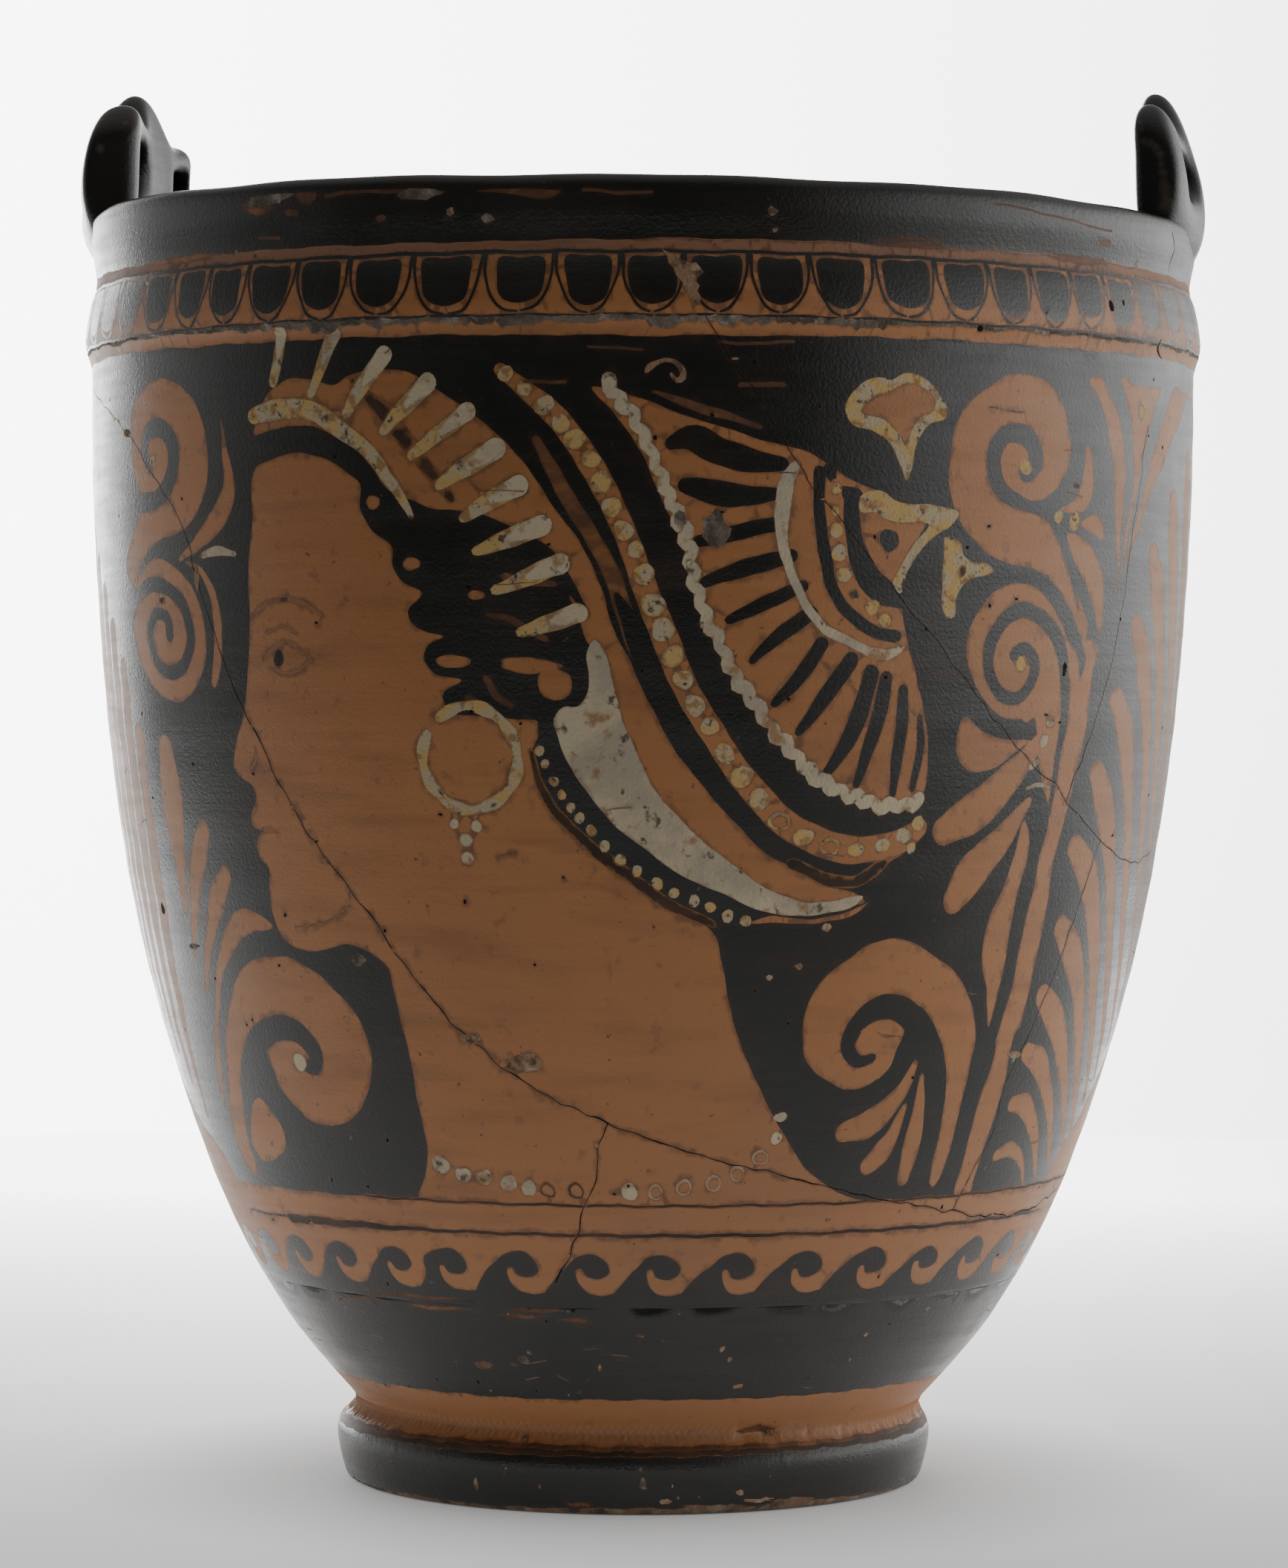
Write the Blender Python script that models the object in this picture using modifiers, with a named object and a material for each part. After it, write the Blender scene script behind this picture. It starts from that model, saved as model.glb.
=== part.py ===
"""A situla: a footed wine bucket of turned, painted and fired clay.

The bowl, the moulded rim and the ring foot are one turned form. Two lugs stand on the rim, opposite
each other on the X axis, each with two loops for a bail and a peak between them. The bowl is hollow
and open at the top, and the foot is hollow below.

Metres, +Z up. The origin is the centre of the foot's resting ring, on the surface it stands on.
"""

import math

import bmesh
import bpy
from mathutils import Vector

# Ring foot: outermost radius, and how far in from it the foot's other edges lie
FOOT_RADIUS = 0.0595
FOOT_JOINT_INSET = 0.0027
FOOT_EDGE_INSET = 0.0033
FOOT_EDGE_ROUNDING = 0.0018
FOOT_RING_WIDTH = 0.0075
FOOT_RECESS = 0.0070
RECESS_SLOPE_WIDTH = 0.0035
RECESS_SLOPE_HEIGHT = 0.0056
FOOT_BULGE_RISE = 0.0102
FOOT_JOINT_RISE = 0.0054

# Body: the rise from one measured girth to the next, from the foot up
BASE_RISE = 0.0184
BASE_CURVE_RISE = 0.0230
LOWER_BODY_RISE = 0.0300
MIDDLE_RISE = 0.0310
BELLY_RISE = 0.0360
UPPER_BODY_RISE = 0.0420
SHOULDER_RISE = 0.0308

# Body: how far in from the lip each girth lies
BASE_INSET = 0.0406
BASE_CURVE_INSET = 0.0278
LOWER_BODY_INSET = 0.0170
MIDDLE_INSET = 0.0091
BELLY_INSET = 0.0037
UPPER_BODY_INSET = 0.0007
SHOULDER_INSET = 0.0001

# Moulding and rim: rises from the shoulder up, and the lip's outer radius
MOULDING_EDGE_RISE = 0.0023
MOULDING_RISE = 0.0031
MOULDING_TOP_RISE = 0.0065
NECK_RISE = 0.0044
LIP_FOOT_RISE = 0.0062
LIP_RISE = 0.0060
LIP_RADIUS = 0.1130
LIP_THICKNESS = 0.0085
LIP_ROUNDING = 0.0024
NECK_INSET = 0.0011
MOULDING_TOP_PROUD = 0.0002
MOULDING_PROUD = 0.0012
MOULDING_EDGE_PROUD = 0.0009

# Walls
WALL_THICKNESS = 0.0058
FLOOR_THICKNESS = 0.0080
FLOOR_DISH = 0.0008
FLOOR_FLAT_RADIUS = 0.0300

# Lugs, before their cage is smoothed: widths along the rim, heights, and depths from the lip's outer edge
MIDDLE_POST_WIDTH = 0.0152
HOLE_WIDTH = 0.0134
END_POST_WIDTH = 0.0156
SHOULDER_WIDTH = 0.0074
ROOT_DROP = 0.0105
ROOT_TOP_DROP = 0.0035
HOLE_SILL = 0.0048
HOLE_TALL = 0.0102
LOOP_BAR = 0.0092
VALLEY_DROP = 0.0036
SHOULDER_DROP = 0.0018
END_DROP = 0.0110
PEAK_RISE = 0.0080
LUG_PROUD = 0.0030
LUG_THICKNESS = 0.0145
LUG_LEAN = 0.0020
ROOT_TUCK = 0.0025
ROOT_DEPTH = 0.0050

# Fineness of the faceted forms
TURN_STEPS = 56
BODY_STEPS = 12
INNER_STEPS = 7
RIM_STEPS = 8
FOOT_STEPS = 6
LIP_STEPS = 3
LUG_SUBDIVISION = 2
MERGE_DISTANCE = 0.00001
SHARP_ANGLE = math.radians(40)

# Black gloss slip
SLIP_COLOUR = (0.012, 0.011, 0.010, 1.0)
SLIP_ROUGHNESS = 0.28

# Heights above the ground, each the sum of the rises below it
FOOT_HEIGHT = FOOT_BULGE_RISE + FOOT_JOINT_RISE
BASE_HEIGHT = FOOT_HEIGHT + BASE_RISE
BASE_CURVE_HEIGHT = BASE_HEIGHT + BASE_CURVE_RISE
LOWER_BODY_HEIGHT = BASE_CURVE_HEIGHT + LOWER_BODY_RISE
MIDDLE_HEIGHT = LOWER_BODY_HEIGHT + MIDDLE_RISE
BELLY_HEIGHT = MIDDLE_HEIGHT + BELLY_RISE
UPPER_BODY_HEIGHT = BELLY_HEIGHT + UPPER_BODY_RISE
SHOULDER_HEIGHT = UPPER_BODY_HEIGHT + SHOULDER_RISE
MOULDING_EDGE_HEIGHT = SHOULDER_HEIGHT + MOULDING_EDGE_RISE
MOULDING_HEIGHT = MOULDING_EDGE_HEIGHT + MOULDING_RISE
MOULDING_TOP_HEIGHT = MOULDING_HEIGHT + MOULDING_TOP_RISE
NECK_HEIGHT = MOULDING_TOP_HEIGHT + NECK_RISE
LIP_FOOT_HEIGHT = NECK_HEIGHT + LIP_FOOT_RISE
RIM_HEIGHT = LIP_FOOT_HEIGHT + LIP_RISE


def clear_scene():
    for obj in list(bpy.data.objects):
        bpy.data.objects.remove(obj, do_unlink=True)


def new_collection(name):
    collection = bpy.data.collections.new(name)
    bpy.context.scene.collection.children.link(collection)
    return collection


def slip_material():
    material = bpy.data.materials.new("black_gloss_slip")
    material.use_nodes = True
    shader = material.node_tree.nodes["Principled BSDF"]
    shader.inputs["Base Color"].default_value = SLIP_COLOUR
    shader.inputs["Roughness"].default_value = SLIP_ROUGHNESS
    shader.inputs["Metallic"].default_value = 0.0
    return material


def curve_through(stations, count):
    """Points of a smooth curve through the stations, each a (radius, height) pair, ends included."""
    points = []
    last = len(stations) - 1
    for step in range(count + 1):
        place = step / count * last
        index = min(int(place), last - 1)
        share = place - index
        before, start = stations[max(index - 1, 0)], stations[index]
        end, after = stations[index + 1], stations[min(index + 2, last)]
        point = []
        for axis in (0, 1):
            slope_in = (end[axis] - before[axis]) / 2
            slope_out = (after[axis] - start[axis]) / 2
            bend = 3 * (end[axis] - start[axis]) - 2 * slope_in - slope_out
            twist = slope_in + slope_out - 2 * (end[axis] - start[axis])
            point.append(start[axis] + share * (slope_in + share * (bend + share * twist)))
        points.append(tuple(point))
    return points


def lip_arc(centre_radius, start, end, count):
    """Points of one rounded edge of the lip, with angles in degrees from outward."""
    points = []
    for step in range(count + 1):
        angle = math.radians(start + (end - start) * step / count)
        radius = centre_radius + LIP_ROUNDING * math.cos(angle)
        points.append((radius, RIM_HEIGHT - LIP_ROUNDING + LIP_ROUNDING * math.sin(angle)))
    return points


def rim_outline():
    """The lip's rounded outer edge, the neck under it and the moulding, top to bottom."""
    below = curve_through(
        [
            (LIP_RADIUS, LIP_FOOT_HEIGHT),
            (LIP_RADIUS - NECK_INSET, NECK_HEIGHT),
            (LIP_RADIUS + MOULDING_TOP_PROUD, MOULDING_TOP_HEIGHT),
            (LIP_RADIUS + MOULDING_PROUD, MOULDING_HEIGHT),
            (LIP_RADIUS + MOULDING_EDGE_PROUD, MOULDING_EDGE_HEIGHT),
        ],
        RIM_STEPS,
    )
    return lip_arc(LIP_RADIUS - LIP_ROUNDING, 90, 15, LIP_STEPS) + below


def body_outline(steps):
    """The body's outer wall, from under the moulding down to the foot."""
    stations = [
        (LIP_RADIUS - SHOULDER_INSET, SHOULDER_HEIGHT),
        (LIP_RADIUS - UPPER_BODY_INSET, UPPER_BODY_HEIGHT),
        (LIP_RADIUS - BELLY_INSET, BELLY_HEIGHT),
        (LIP_RADIUS - MIDDLE_INSET, MIDDLE_HEIGHT),
        (LIP_RADIUS - LOWER_BODY_INSET, LOWER_BODY_HEIGHT),
        (LIP_RADIUS - BASE_CURVE_INSET, BASE_CURVE_HEIGHT),
        (LIP_RADIUS - BASE_INSET, BASE_HEIGHT),
        (FOOT_RADIUS - FOOT_JOINT_INSET, FOOT_HEIGHT),
    ]
    return curve_through(stations, steps)


def foot_outline():
    """The foot's bulging edge, its flat resting ring and the recess under it, down and in to the axis."""
    edge = FOOT_RADIUS - FOOT_EDGE_INSET
    bulge = curve_through(
        [
            (FOOT_RADIUS - FOOT_JOINT_INSET, FOOT_HEIGHT),
            (FOOT_RADIUS, FOOT_BULGE_RISE),
            (edge + FOOT_EDGE_ROUNDING, FOOT_EDGE_ROUNDING),
            (edge, 0.0),
        ],
        FOOT_STEPS,
    )
    ring_inside = edge - FOOT_RING_WIDTH
    recess = [
        (ring_inside, 0.0),
        (ring_inside - RECESS_SLOPE_WIDTH, RECESS_SLOPE_HEIGHT),
        (0.0, FOOT_RECESS),
    ]
    return bulge[1:] + recess


def inner_outline():
    """The inside, from the floor's middle up to the lip: the outer wall set in by its thickness."""
    body = body_outline(INNER_STEPS)
    floor_top = FOOT_RECESS + FLOOR_THICKNESS
    wall = []
    for index in range(len(body) - 1, -1, -1):
        above = body[max(index - 1, 0)]
        below = body[min(index + 1, len(body) - 1)]
        along = Vector((above[0] - below[0], above[1] - below[1])).normalized()
        radius = body[index][0] - WALL_THICKNESS * along.y
        height = body[index][1] + WALL_THICKNESS * along.x
        if height > floor_top + WALL_THICKNESS:
            wall.append((radius, height))
    floor = [(0.0, floor_top), (FLOOR_FLAT_RADIUS, floor_top + FLOOR_DISH)]
    lip_inside = LIP_RADIUS - LIP_THICKNESS
    lip = [(lip_inside, NECK_HEIGHT), (lip_inside, RIM_HEIGHT - LIP_ROUNDING)]
    return floor + wall + lip + lip_arc(lip_inside + LIP_ROUNDING, 135, 90, 1)


def turned_form(collection, material):
    """The vessel without its lugs: one profile turned about Z."""
    profile = inner_outline() + rim_outline() + body_outline(BODY_STEPS) + foot_outline()
    mesh = bpy.data.meshes.new("situla")
    points = [(radius, 0.0, height) for radius, height in profile]
    mesh.from_pydata(points, [(i, i + 1) for i in range(len(points) - 1)], [])
    mesh.materials.append(material)
    form = bpy.data.objects.new("situla", mesh)
    collection.objects.link(form)
    turn = form.modifiers.new("turn", "SCREW")
    turn.axis = "Z"
    turn.angle = 2 * math.pi
    turn.steps = TURN_STEPS
    turn.render_steps = TURN_STEPS
    turn.use_merge_vertices = True
    turn.merge_threshold = MERGE_DISTANCE
    return form


def lug_columns():
    """Places along the rim, from the lug's middle, of each hole's two sides, the shoulders and the ends."""
    hole_start = MIDDLE_POST_WIDTH / 2
    hole_end = hole_start + HOLE_WIDTH
    end = hole_end + END_POST_WIDTH
    half = [hole_start, hole_end, end - SHOULDER_WIDTH, end]
    return [-place for place in reversed(half)] + [0.0] + half


def lug_rows():
    """Heights above the rim of the cage's lines, from the root up, without its uneven top line."""
    return [-ROOT_DROP, -ROOT_TOP_DROP, HOLE_SILL, HOLE_SILL + HOLE_TALL]


def lug_tops():
    """Height above the rim of the cage's top line at each column: a rounded loop on each side of a peak."""
    loop = HOLE_SILL + HOLE_TALL + LOOP_BAR
    half = [loop - VALLEY_DROP, loop, loop - SHOULDER_DROP, loop - END_DROP]
    return list(reversed(half)) + [loop + PEAK_RISE] + half


def lug_sheet(columns, levels):
    """A flat grid of the lug's elevation, a unit wide and high, without its two holes, given a back."""
    sheet = bmesh.new()
    bmesh.ops.create_grid(sheet, x_segments=columns, y_segments=levels, size=0.5)
    hole_row, hole_columns = 2, (columns // 2 - 2, columns // 2 + 1)
    holes = []
    for face in sheet.faces:
        middle = face.calc_center_median()
        column = int((middle.x + 0.5) * columns)
        row = int((middle.y + 0.5) * levels)
        if row == hole_row and column in hole_columns:
            holes.append(face)
    bmesh.ops.delete(sheet, geom=holes, context="FACES")
    bmesh.ops.solidify(sheet, geom=sheet.faces[:], thickness=0.5)
    return sheet


def lug_cage(name, side, collection):
    """A coarse cage of one lug, bent round the rim on side +1 or -1 of X, and smoothed."""
    columns, rows, tops = lug_columns(), lug_rows(), lug_tops()
    across, up = len(columns) - 1, len(rows)
    outside = [-ROOT_TUCK, LUG_PROUD, LUG_PROUD, LUG_PROUD - LUG_LEAN, LUG_PROUD - 3 * LUG_LEAN]
    inside = [-ROOT_DEPTH, -ROOT_DEPTH] + [LUG_PROUD - LUG_THICKNESS] * 3
    cage = lug_sheet(across, up)
    front = max(vertex.co.z for vertex in cage.verts)
    for vertex in cage.verts:
        column = round((vertex.co.x + 0.5) * across)
        row = round((vertex.co.y + 0.5) * up)
        depth = outside[row] if abs(vertex.co.z - front) < MERGE_DISTANCE else inside[row]
        height = tops[column] if row == up else rows[row]
        angle = columns[column] / LIP_RADIUS
        radius = LIP_RADIUS + depth
        vertex.co = (side * radius * math.cos(angle), radius * math.sin(angle), RIM_HEIGHT + height)
    bmesh.ops.recalc_face_normals(cage, faces=cage.faces[:])
    mesh = bpy.data.meshes.new(name)
    cage.to_mesh(mesh)
    cage.free()
    lug = bpy.data.objects.new(name, mesh)
    collection.objects.link(lug)
    smooth = lug.modifiers.new("smooth", "SUBSURF")
    smooth.levels = LUG_SUBDIVISION
    smooth.render_levels = LUG_SUBDIVISION
    lug.hide_render = True
    lug.display_type = "WIRE"
    return lug


def join(form, lug):
    union = form.modifiers.new("join " + lug.name, "BOOLEAN")
    union.operation = "UNION"
    union.solver = "EXACT"
    union.object = lug


def build_situla():
    clear_scene()
    parts = new_collection("Situla")
    joined = new_collection("Joined forms")
    situla = turned_form(parts, slip_material())
    for name, side in (("lug_right", 1), ("lug_left", -1)):
        join(situla, lug_cage(name, side, joined))
    situla.data.shade_smooth()
    situla.data.set_sharp_from_angle(angle=SHARP_ANGLE)


build_situla()
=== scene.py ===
"""A painted clay situla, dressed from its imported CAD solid: the turned vessel with its painted wall, and two lugs."""

import math
import random

import bpy
import numpy as np
from mathutils import Matrix, Vector, kdtree
from mathutils.geometry import delaunay_2d_cdt


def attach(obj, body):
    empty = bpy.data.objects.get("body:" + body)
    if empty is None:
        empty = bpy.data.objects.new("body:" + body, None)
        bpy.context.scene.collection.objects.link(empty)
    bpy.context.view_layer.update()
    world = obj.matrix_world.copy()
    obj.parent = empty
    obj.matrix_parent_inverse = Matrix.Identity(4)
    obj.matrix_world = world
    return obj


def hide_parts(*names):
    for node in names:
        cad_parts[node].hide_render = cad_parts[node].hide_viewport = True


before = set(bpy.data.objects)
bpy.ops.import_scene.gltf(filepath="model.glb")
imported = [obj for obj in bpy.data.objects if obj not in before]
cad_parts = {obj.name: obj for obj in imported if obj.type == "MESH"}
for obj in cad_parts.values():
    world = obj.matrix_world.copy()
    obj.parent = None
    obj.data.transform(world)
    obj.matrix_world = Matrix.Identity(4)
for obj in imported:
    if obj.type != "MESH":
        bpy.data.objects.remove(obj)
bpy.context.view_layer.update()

bl_info = {
    "name": "Painted Situla",
    "version": (1, 0, 0),
    "blender": (4, 5, 0),
    "location": "3D View > Sidebar > Situla",
    "description": "Builds a footed clay wine bucket with a painted wall and two double-loop lugs",
    "category": "Object",
}

# ---------------------------------------------------------------------------
# Fixed measures of the vessel, in metres: the same stations as the CAD profile
# ---------------------------------------------------------------------------

RIM_HEIGHT = 0.2553
LIP_RADIUS = 0.1130
LIP_THICKNESS = 0.0085
LIP_ROUNDING = 0.0024
FOOT_EDGE = 0.0562
FOOT_EDGE_ROUNDING = 0.0018
FOOT_RING_WIDTH = 0.0075
RIM_STATIONS = [(0.1130, 0.2493), (0.1119, 0.2431), (0.1132, 0.2387), (0.1142, 0.2322), (0.1139, 0.2291)]
BODY_STATIONS = [
    (0.1129, 0.2268), (0.1123, 0.1960), (0.1093, 0.1540), (0.1039, 0.1180), (0.0960, 0.0870), (0.0852, 0.0570),
    (0.0724, 0.0340), (0.0568, 0.0156),
]
FOOT_STATIONS = [
    (0.0568, 0.0156), (0.0595, 0.0102), (FOOT_EDGE + FOOT_EDGE_ROUNDING, FOOT_EDGE_ROUNDING), (FOOT_EDGE, 0.0),
]
RECESS_STATIONS = [(FOOT_EDGE - FOOT_RING_WIDTH, 0.0), (0.0452, 0.0056), (0.0300, 0.0066), (0.0150, 0.0069)]
RECESS_CENTRE = 0.0070
FLOOR_TOP = 0.0150
FLOOR_FLAT_RADIUS = 0.0300
FLOOR_DISH = 0.0008

# The wall is unrolled at this girth for painting, in millimetres, and turned so that the near side faces the camera
GIRTH_RADIUS = 112.0
GIRTH = 2 * math.pi * GIRTH_RADIUS
SEAM = 299.5
CAMERA_TURN = math.radians(5)
WALL_COLUMNS = 240
RIGHT_LUG = 166.2
LEFT_LUG = -185.7
BACK_MIDDLE = 345.6
WAVE_CUT = 1.0
CROWN_Z = 203.0
FACE_TALL = 91.0

# Rows of the wall's triangles, in millimetres: close together in the foot and in the mouldings of the rim
LOWEST_ROWS = [0.0, 0.35, 0.8, 1.3, 1.8]
FINE_ROW = 1.2
COARSE_ROW = 2.9
FOOT_TOP = 22
MOULDING_START = 224
# How far the plain triangles' corners stay from what is painted, and the spacing of those put in between
CLEARANCE = 0.85
FILLING = 1.2
FILLING_CLEARANCE = 0.55

WALL_THICKNESS = 0.0058
FINISHES = [
    "black", "clay", "white", "yellow", "dilute", "wash", "line", "worn", "crack", "chip", "lime", "dull", "inner",
]
# ---------------------------------------------------------------------------
# Brush: closed shapes on the unrolled wall, in millimetres (along the girth, up the wall)
# ---------------------------------------------------------------------------


def curve(points, closed=False, step=1.05):
    """Evenly spaced points of a smooth curve through a few; extra columns, such as a width, go along."""
    knots = np.asarray(points, float)
    count = len(knots)
    result = []
    for index in range(count if closed else count - 1):
        start, end = knots[index], knots[(index + 1) % count]
        before = knots[index - 1] if closed or index else 2 * start - end
        after = knots[(index + 2) % count] if closed or index + 2 < count else 2 * end - start
        gap = max(math.dist(start[:2], end[:2]), 0.01)
        lead = max(math.dist(before[:2], start[:2]), 0.01)
        follow = max(math.dist(end[:2], after[:2]), 0.01)
        leave = ((start - before) / lead * gap + (end - start) / gap * lead) * gap / (lead + gap)
        arrive = ((end - start) / gap * follow + (after - end) / follow * gap) * gap / (gap + follow)
        for part in range(max(1, math.ceil(gap / step))):
            t = part / max(1, math.ceil(gap / step))
            result.append(
                (2 * t**3 - 3 * t**2 + 1) * start + (t**3 - 2 * t**2 + t) * leave
                + (3 * t**2 - 2 * t**3) * end + (t**3 - t**2) * arrive
            )
    if not closed:
        result.append(knots[-1])
    return np.array(result)


def round_end(centre, side, half):
    """Points of a half circle from one side of a stroke's end to the other."""
    count = max(2, round(math.pi * half / 0.9))
    ahead = np.array([side[1], -side[0]])
    turns = [math.pi * index / count for index in range(1, count)]
    return [centre + half * (math.cos(turn) * side + math.sin(turn) * ahead) for turn in turns]


def stroke(points, widths):
    """One brush stroke: a smooth line with a width at each point, or one all along, and round ends."""
    if not hasattr(widths, "__len__"):
        widths = [widths] * len(points)
    line = curve([(s, z, width) for (s, z), width in zip(points, widths)])
    centre, half = line[:, :2], np.maximum(line[:, 2:] / 2, 0.08)
    along = np.gradient(centre, axis=0)
    along /= np.linalg.norm(along, axis=1)[:, None]
    side = np.column_stack([-along[:, 1], along[:, 0]])
    left, right = centre + side * half, centre - side * half
    head = round_end(centre[-1], side[-1], half[-1, 0])
    tail = round_end(centre[0], -side[0], half[0, 0])
    return np.vstack([left, head, right[::-1], tail])


def petal(points, width):
    """A stroke that starts in a round, full tip and thins towards its root."""
    count = len(points) - 1
    full = [0.72, 1.0, 0.93, 0.75, 0.5, 0.26]
    shares = [index / count * (len(full) - 1) for index in range(count + 1)]
    return stroke(points, [width * float(np.interp(share, range(len(full)), full)) for share in shares])


def dab(s, z, wide, tall=None, rough=0.07):
    """A dot set down with the tip of the brush, a little out of round."""
    tall = tall or wide
    count = max(8, round(2 * math.pi * max(wide, tall) / 0.8))
    turns = [2 * math.pi * index / count for index in range(count)]
    points = []
    for t in turns:
        reach = 1 + rough * (math.sin(2 * t + s) + 0.7 * math.sin(3 * t + z) + 0.5 * math.sin(5 * t + s - z))
        points.append((s + wide * reach * math.cos(t), z + tall * reach * math.sin(t)))
    return np.array(points)


def flake(s, z, wide, tall, seed):
    """A lost chip of slip or clay with a jagged edge."""
    dice = random.Random(seed)
    count = max(7, round(2.2 * max(wide, tall)) + 5)
    turns = [2 * math.pi * (index + dice.uniform(-0.3, 0.3)) / count for index in range(count)]
    return np.array([
        (s + wide * dice.uniform(0.6, 1.15) * math.cos(t), z + tall * dice.uniform(0.6, 1.15) * math.sin(t))
        for t in turns
    ])


class Wall:
    """What lies on the wall, in the order it was laid on, each a finish and a closed outline."""

    def __init__(self):
        self.shapes = []

    def area(self, finish, points):
        self.shapes.append((finish, curve(points, closed=True)))

    def line(self, finish, points, widths):
        self.shapes.append((finish, stroke(points, widths)))

    def petal(self, finish, points, width):
        self.shapes.append((finish, petal(points, width)))

    def dots(self, finish, places):
        for place in places:
            self.shapes.append((finish, dab(*place)))

    def outline(self, finish, points):
        self.shapes.append((finish, np.asarray(points, float)))

    def mirrored(self, draw, centre):
        """What draw lays on, and the same again on the other side of an upright line."""
        first = len(self.shapes)
        draw(self)
        for finish, outline in self.shapes[first:]:
            turned = outline[::-1] * np.array([-1, 1]) + np.array([2 * centre, 0])
            self.shapes.append((finish, turned))

# ---------------------------------------------------------------------------
# Painting: the bands that run round the vessel
# ---------------------------------------------------------------------------


def level(height, wander=0.3, phase=0):
    """A nearly level line round the wall, from seam to seam."""
    count = 400
    line = []
    for index in range(count + 1):
        turn = 2 * math.pi * index / count
        sway = math.sin(3 * turn + phase) + 0.6 * math.sin(8 * turn + 2 * phase) + 0.35 * math.sin(29 * turn + phase)
        line.append((SEAM - GIRTH + GIRTH * index / count, height + wander * sway / 2))
    return line


def belt(wall, finish, low, high, wander=0.3, phase=0):
    """A band all round between two levels."""
    wall.outline(finish, level(low, wander, phase) + level(high, wander, phase + 1.3)[::-1])


def egg_band(wall):
    """Black eggs, each in a reserved border inside a thin black line."""
    seen = [-120.7, -108.3, -96.6, -86.2, -74.4, -62.5, -50.1, -36.5, -22.3, -9.8, 1.8, 13.6, 25.2, 36.8, 50,
            62.7, 73.8, 85, 95.5, 106.8, 118.2, 130.9]
    ahead = np.linspace(seen[-1], SEAM - 6.4, 14)[1:]
    behind = np.linspace(SEAM - GIRTH + 6.4, seen[0], 24)[:-1]
    centres = list(behind) + seen + list(ahead)
    dice = random.Random(3)
    for index, s in enumerate(centres):
        left = (s - centres[index - 1]) / 2 if index else 6.05
        right = (centres[index + 1] - s) / 2 if index + 1 < len(centres) else 6.05
        room = min(left, right)
        top, bottom = 240.0 + dice.uniform(-0.2, 0.2), 230.2 + dice.uniform(-0.3, 0.2)
        half = room * dice.uniform(0.67, 0.76)
        low = bottom + dice.uniform(0.9, 1.8)
        wall.area("black", [
            (s - half, top), (s - half * 1.02, (top + low) / 2 + 0.6), (s - half * 0.75, low + 1.2), (s, low),
            (s + half * 0.78, low + 1.3), (s + half * 1.03, (top + low) / 2 + 0.8), (s + half * 0.96, top),
            (s, top + 0.2),
        ])
        lean = dice.uniform(-0.25, 0.25)
        for side, reach in ((-1, left), (1, right)):
            wall.line("black", [
                (s + side * (reach - 0.25) + lean * 0.3, top + 0.7), (s + side * (reach - 0.6), 236.6 + lean),
                (s + side * (reach - 1.9), 233), (s + side * (reach - 3.9), bottom + 0.3),
                (s + side * 0.4, bottom - 0.25),
            ], [0.8, 0.5, 0.5, 0.55, 0.4])


def wave_band(wall):
    """Black running waves over the lower zone."""
    seen = [-101, -82, -63.1, -46.3, -26.6, -7.8, 10.6, 30.4, 49.2, 68.8, 87.6, 107.2, 126]
    ahead = np.linspace(seen[-1], SEAM - WAVE_CUT, 10)[1:]
    behind = np.linspace(SEAM - GIRTH - WAVE_CUT, seen[0], 17)[1:-1]
    crests = list(behind) + seen + list(ahead)
    dice = random.Random(11)
    for index, s in enumerate(crests):
        start = crests[index - 1] + WAVE_CUT if index else SEAM - GIRTH
        low = 45.3
        tall = dice.uniform(-0.5, 0.4)
        wide = dice.uniform(0.92, 1.06)
        crest = [
            (start, low + 0.4), (start + 2.7 * wide, 48.2 + tall),
            (s - 11.9 * wide, 51.0 + tall), (s - 8, 53.1 + tall), (s - 4.7, 53.6 + tall), (s - 1.9, 52.8 + tall),
            (s - 0.2, 51.3), (s, 50), (s - 1.3, 49), (s - 4, 48.6), (s - 6.2, 49.1), (s - 7.1, 50.4),
            (s - 8.4, 50.2), (s - 8.3, 48.1), (s - 6, low + 0.5), (s - 2.5, low), (s + WAVE_CUT, low + 0.4),
        ]
        wall.outline("black", list(curve(crest)) + [(s + WAVE_CUT, 42.5), (start, 42.5)])


def bands(wall):
    """The reserved and black zones, the egg band and the wave band."""
    belt(wall, "clay", 226, 243.4, 0.5, 0.4)
    belt(wall, "dull", 241.2, 243.4, 0.3, 0.4)
    belt(wall, "black", 240.8, 241.45, 0.08, 2)
    belt(wall, "black", 229.05, 229.6, 0.1, 3)
    egg_band(wall)
    belt(wall, "clay", 43.6, 63.2, 0)
    wall.line("dilute", [
        (-105, 57.2), (-80, 57.3), (-60, 57.3), (0, 57.2), (60, 57.3), (130, 57.6),
    ], [2, 1.7, 0.9, 0.7, 0.7, 0.8])
    belt(wall, "dilute", 57.05, 57.6, 0.05, 1)
    wave_band(wall)
    belt(wall, "black", 23.2, 44.6, 0)
    belt(wall, "clay", 12.4, 23.2, 0.25, 0.7)
    belt(wall, "wash", 12, 13.5, 0.3, 2.6)
    belt(wall, "dilute", 11.6, 12.8, 0.2, 2.6)
    belt(wall, "worn", 0.4, 1.3, 0.5, 1.1)


# ---------------------------------------------------------------------------
# Painting: scrolls and palmettes
# ---------------------------------------------------------------------------


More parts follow.
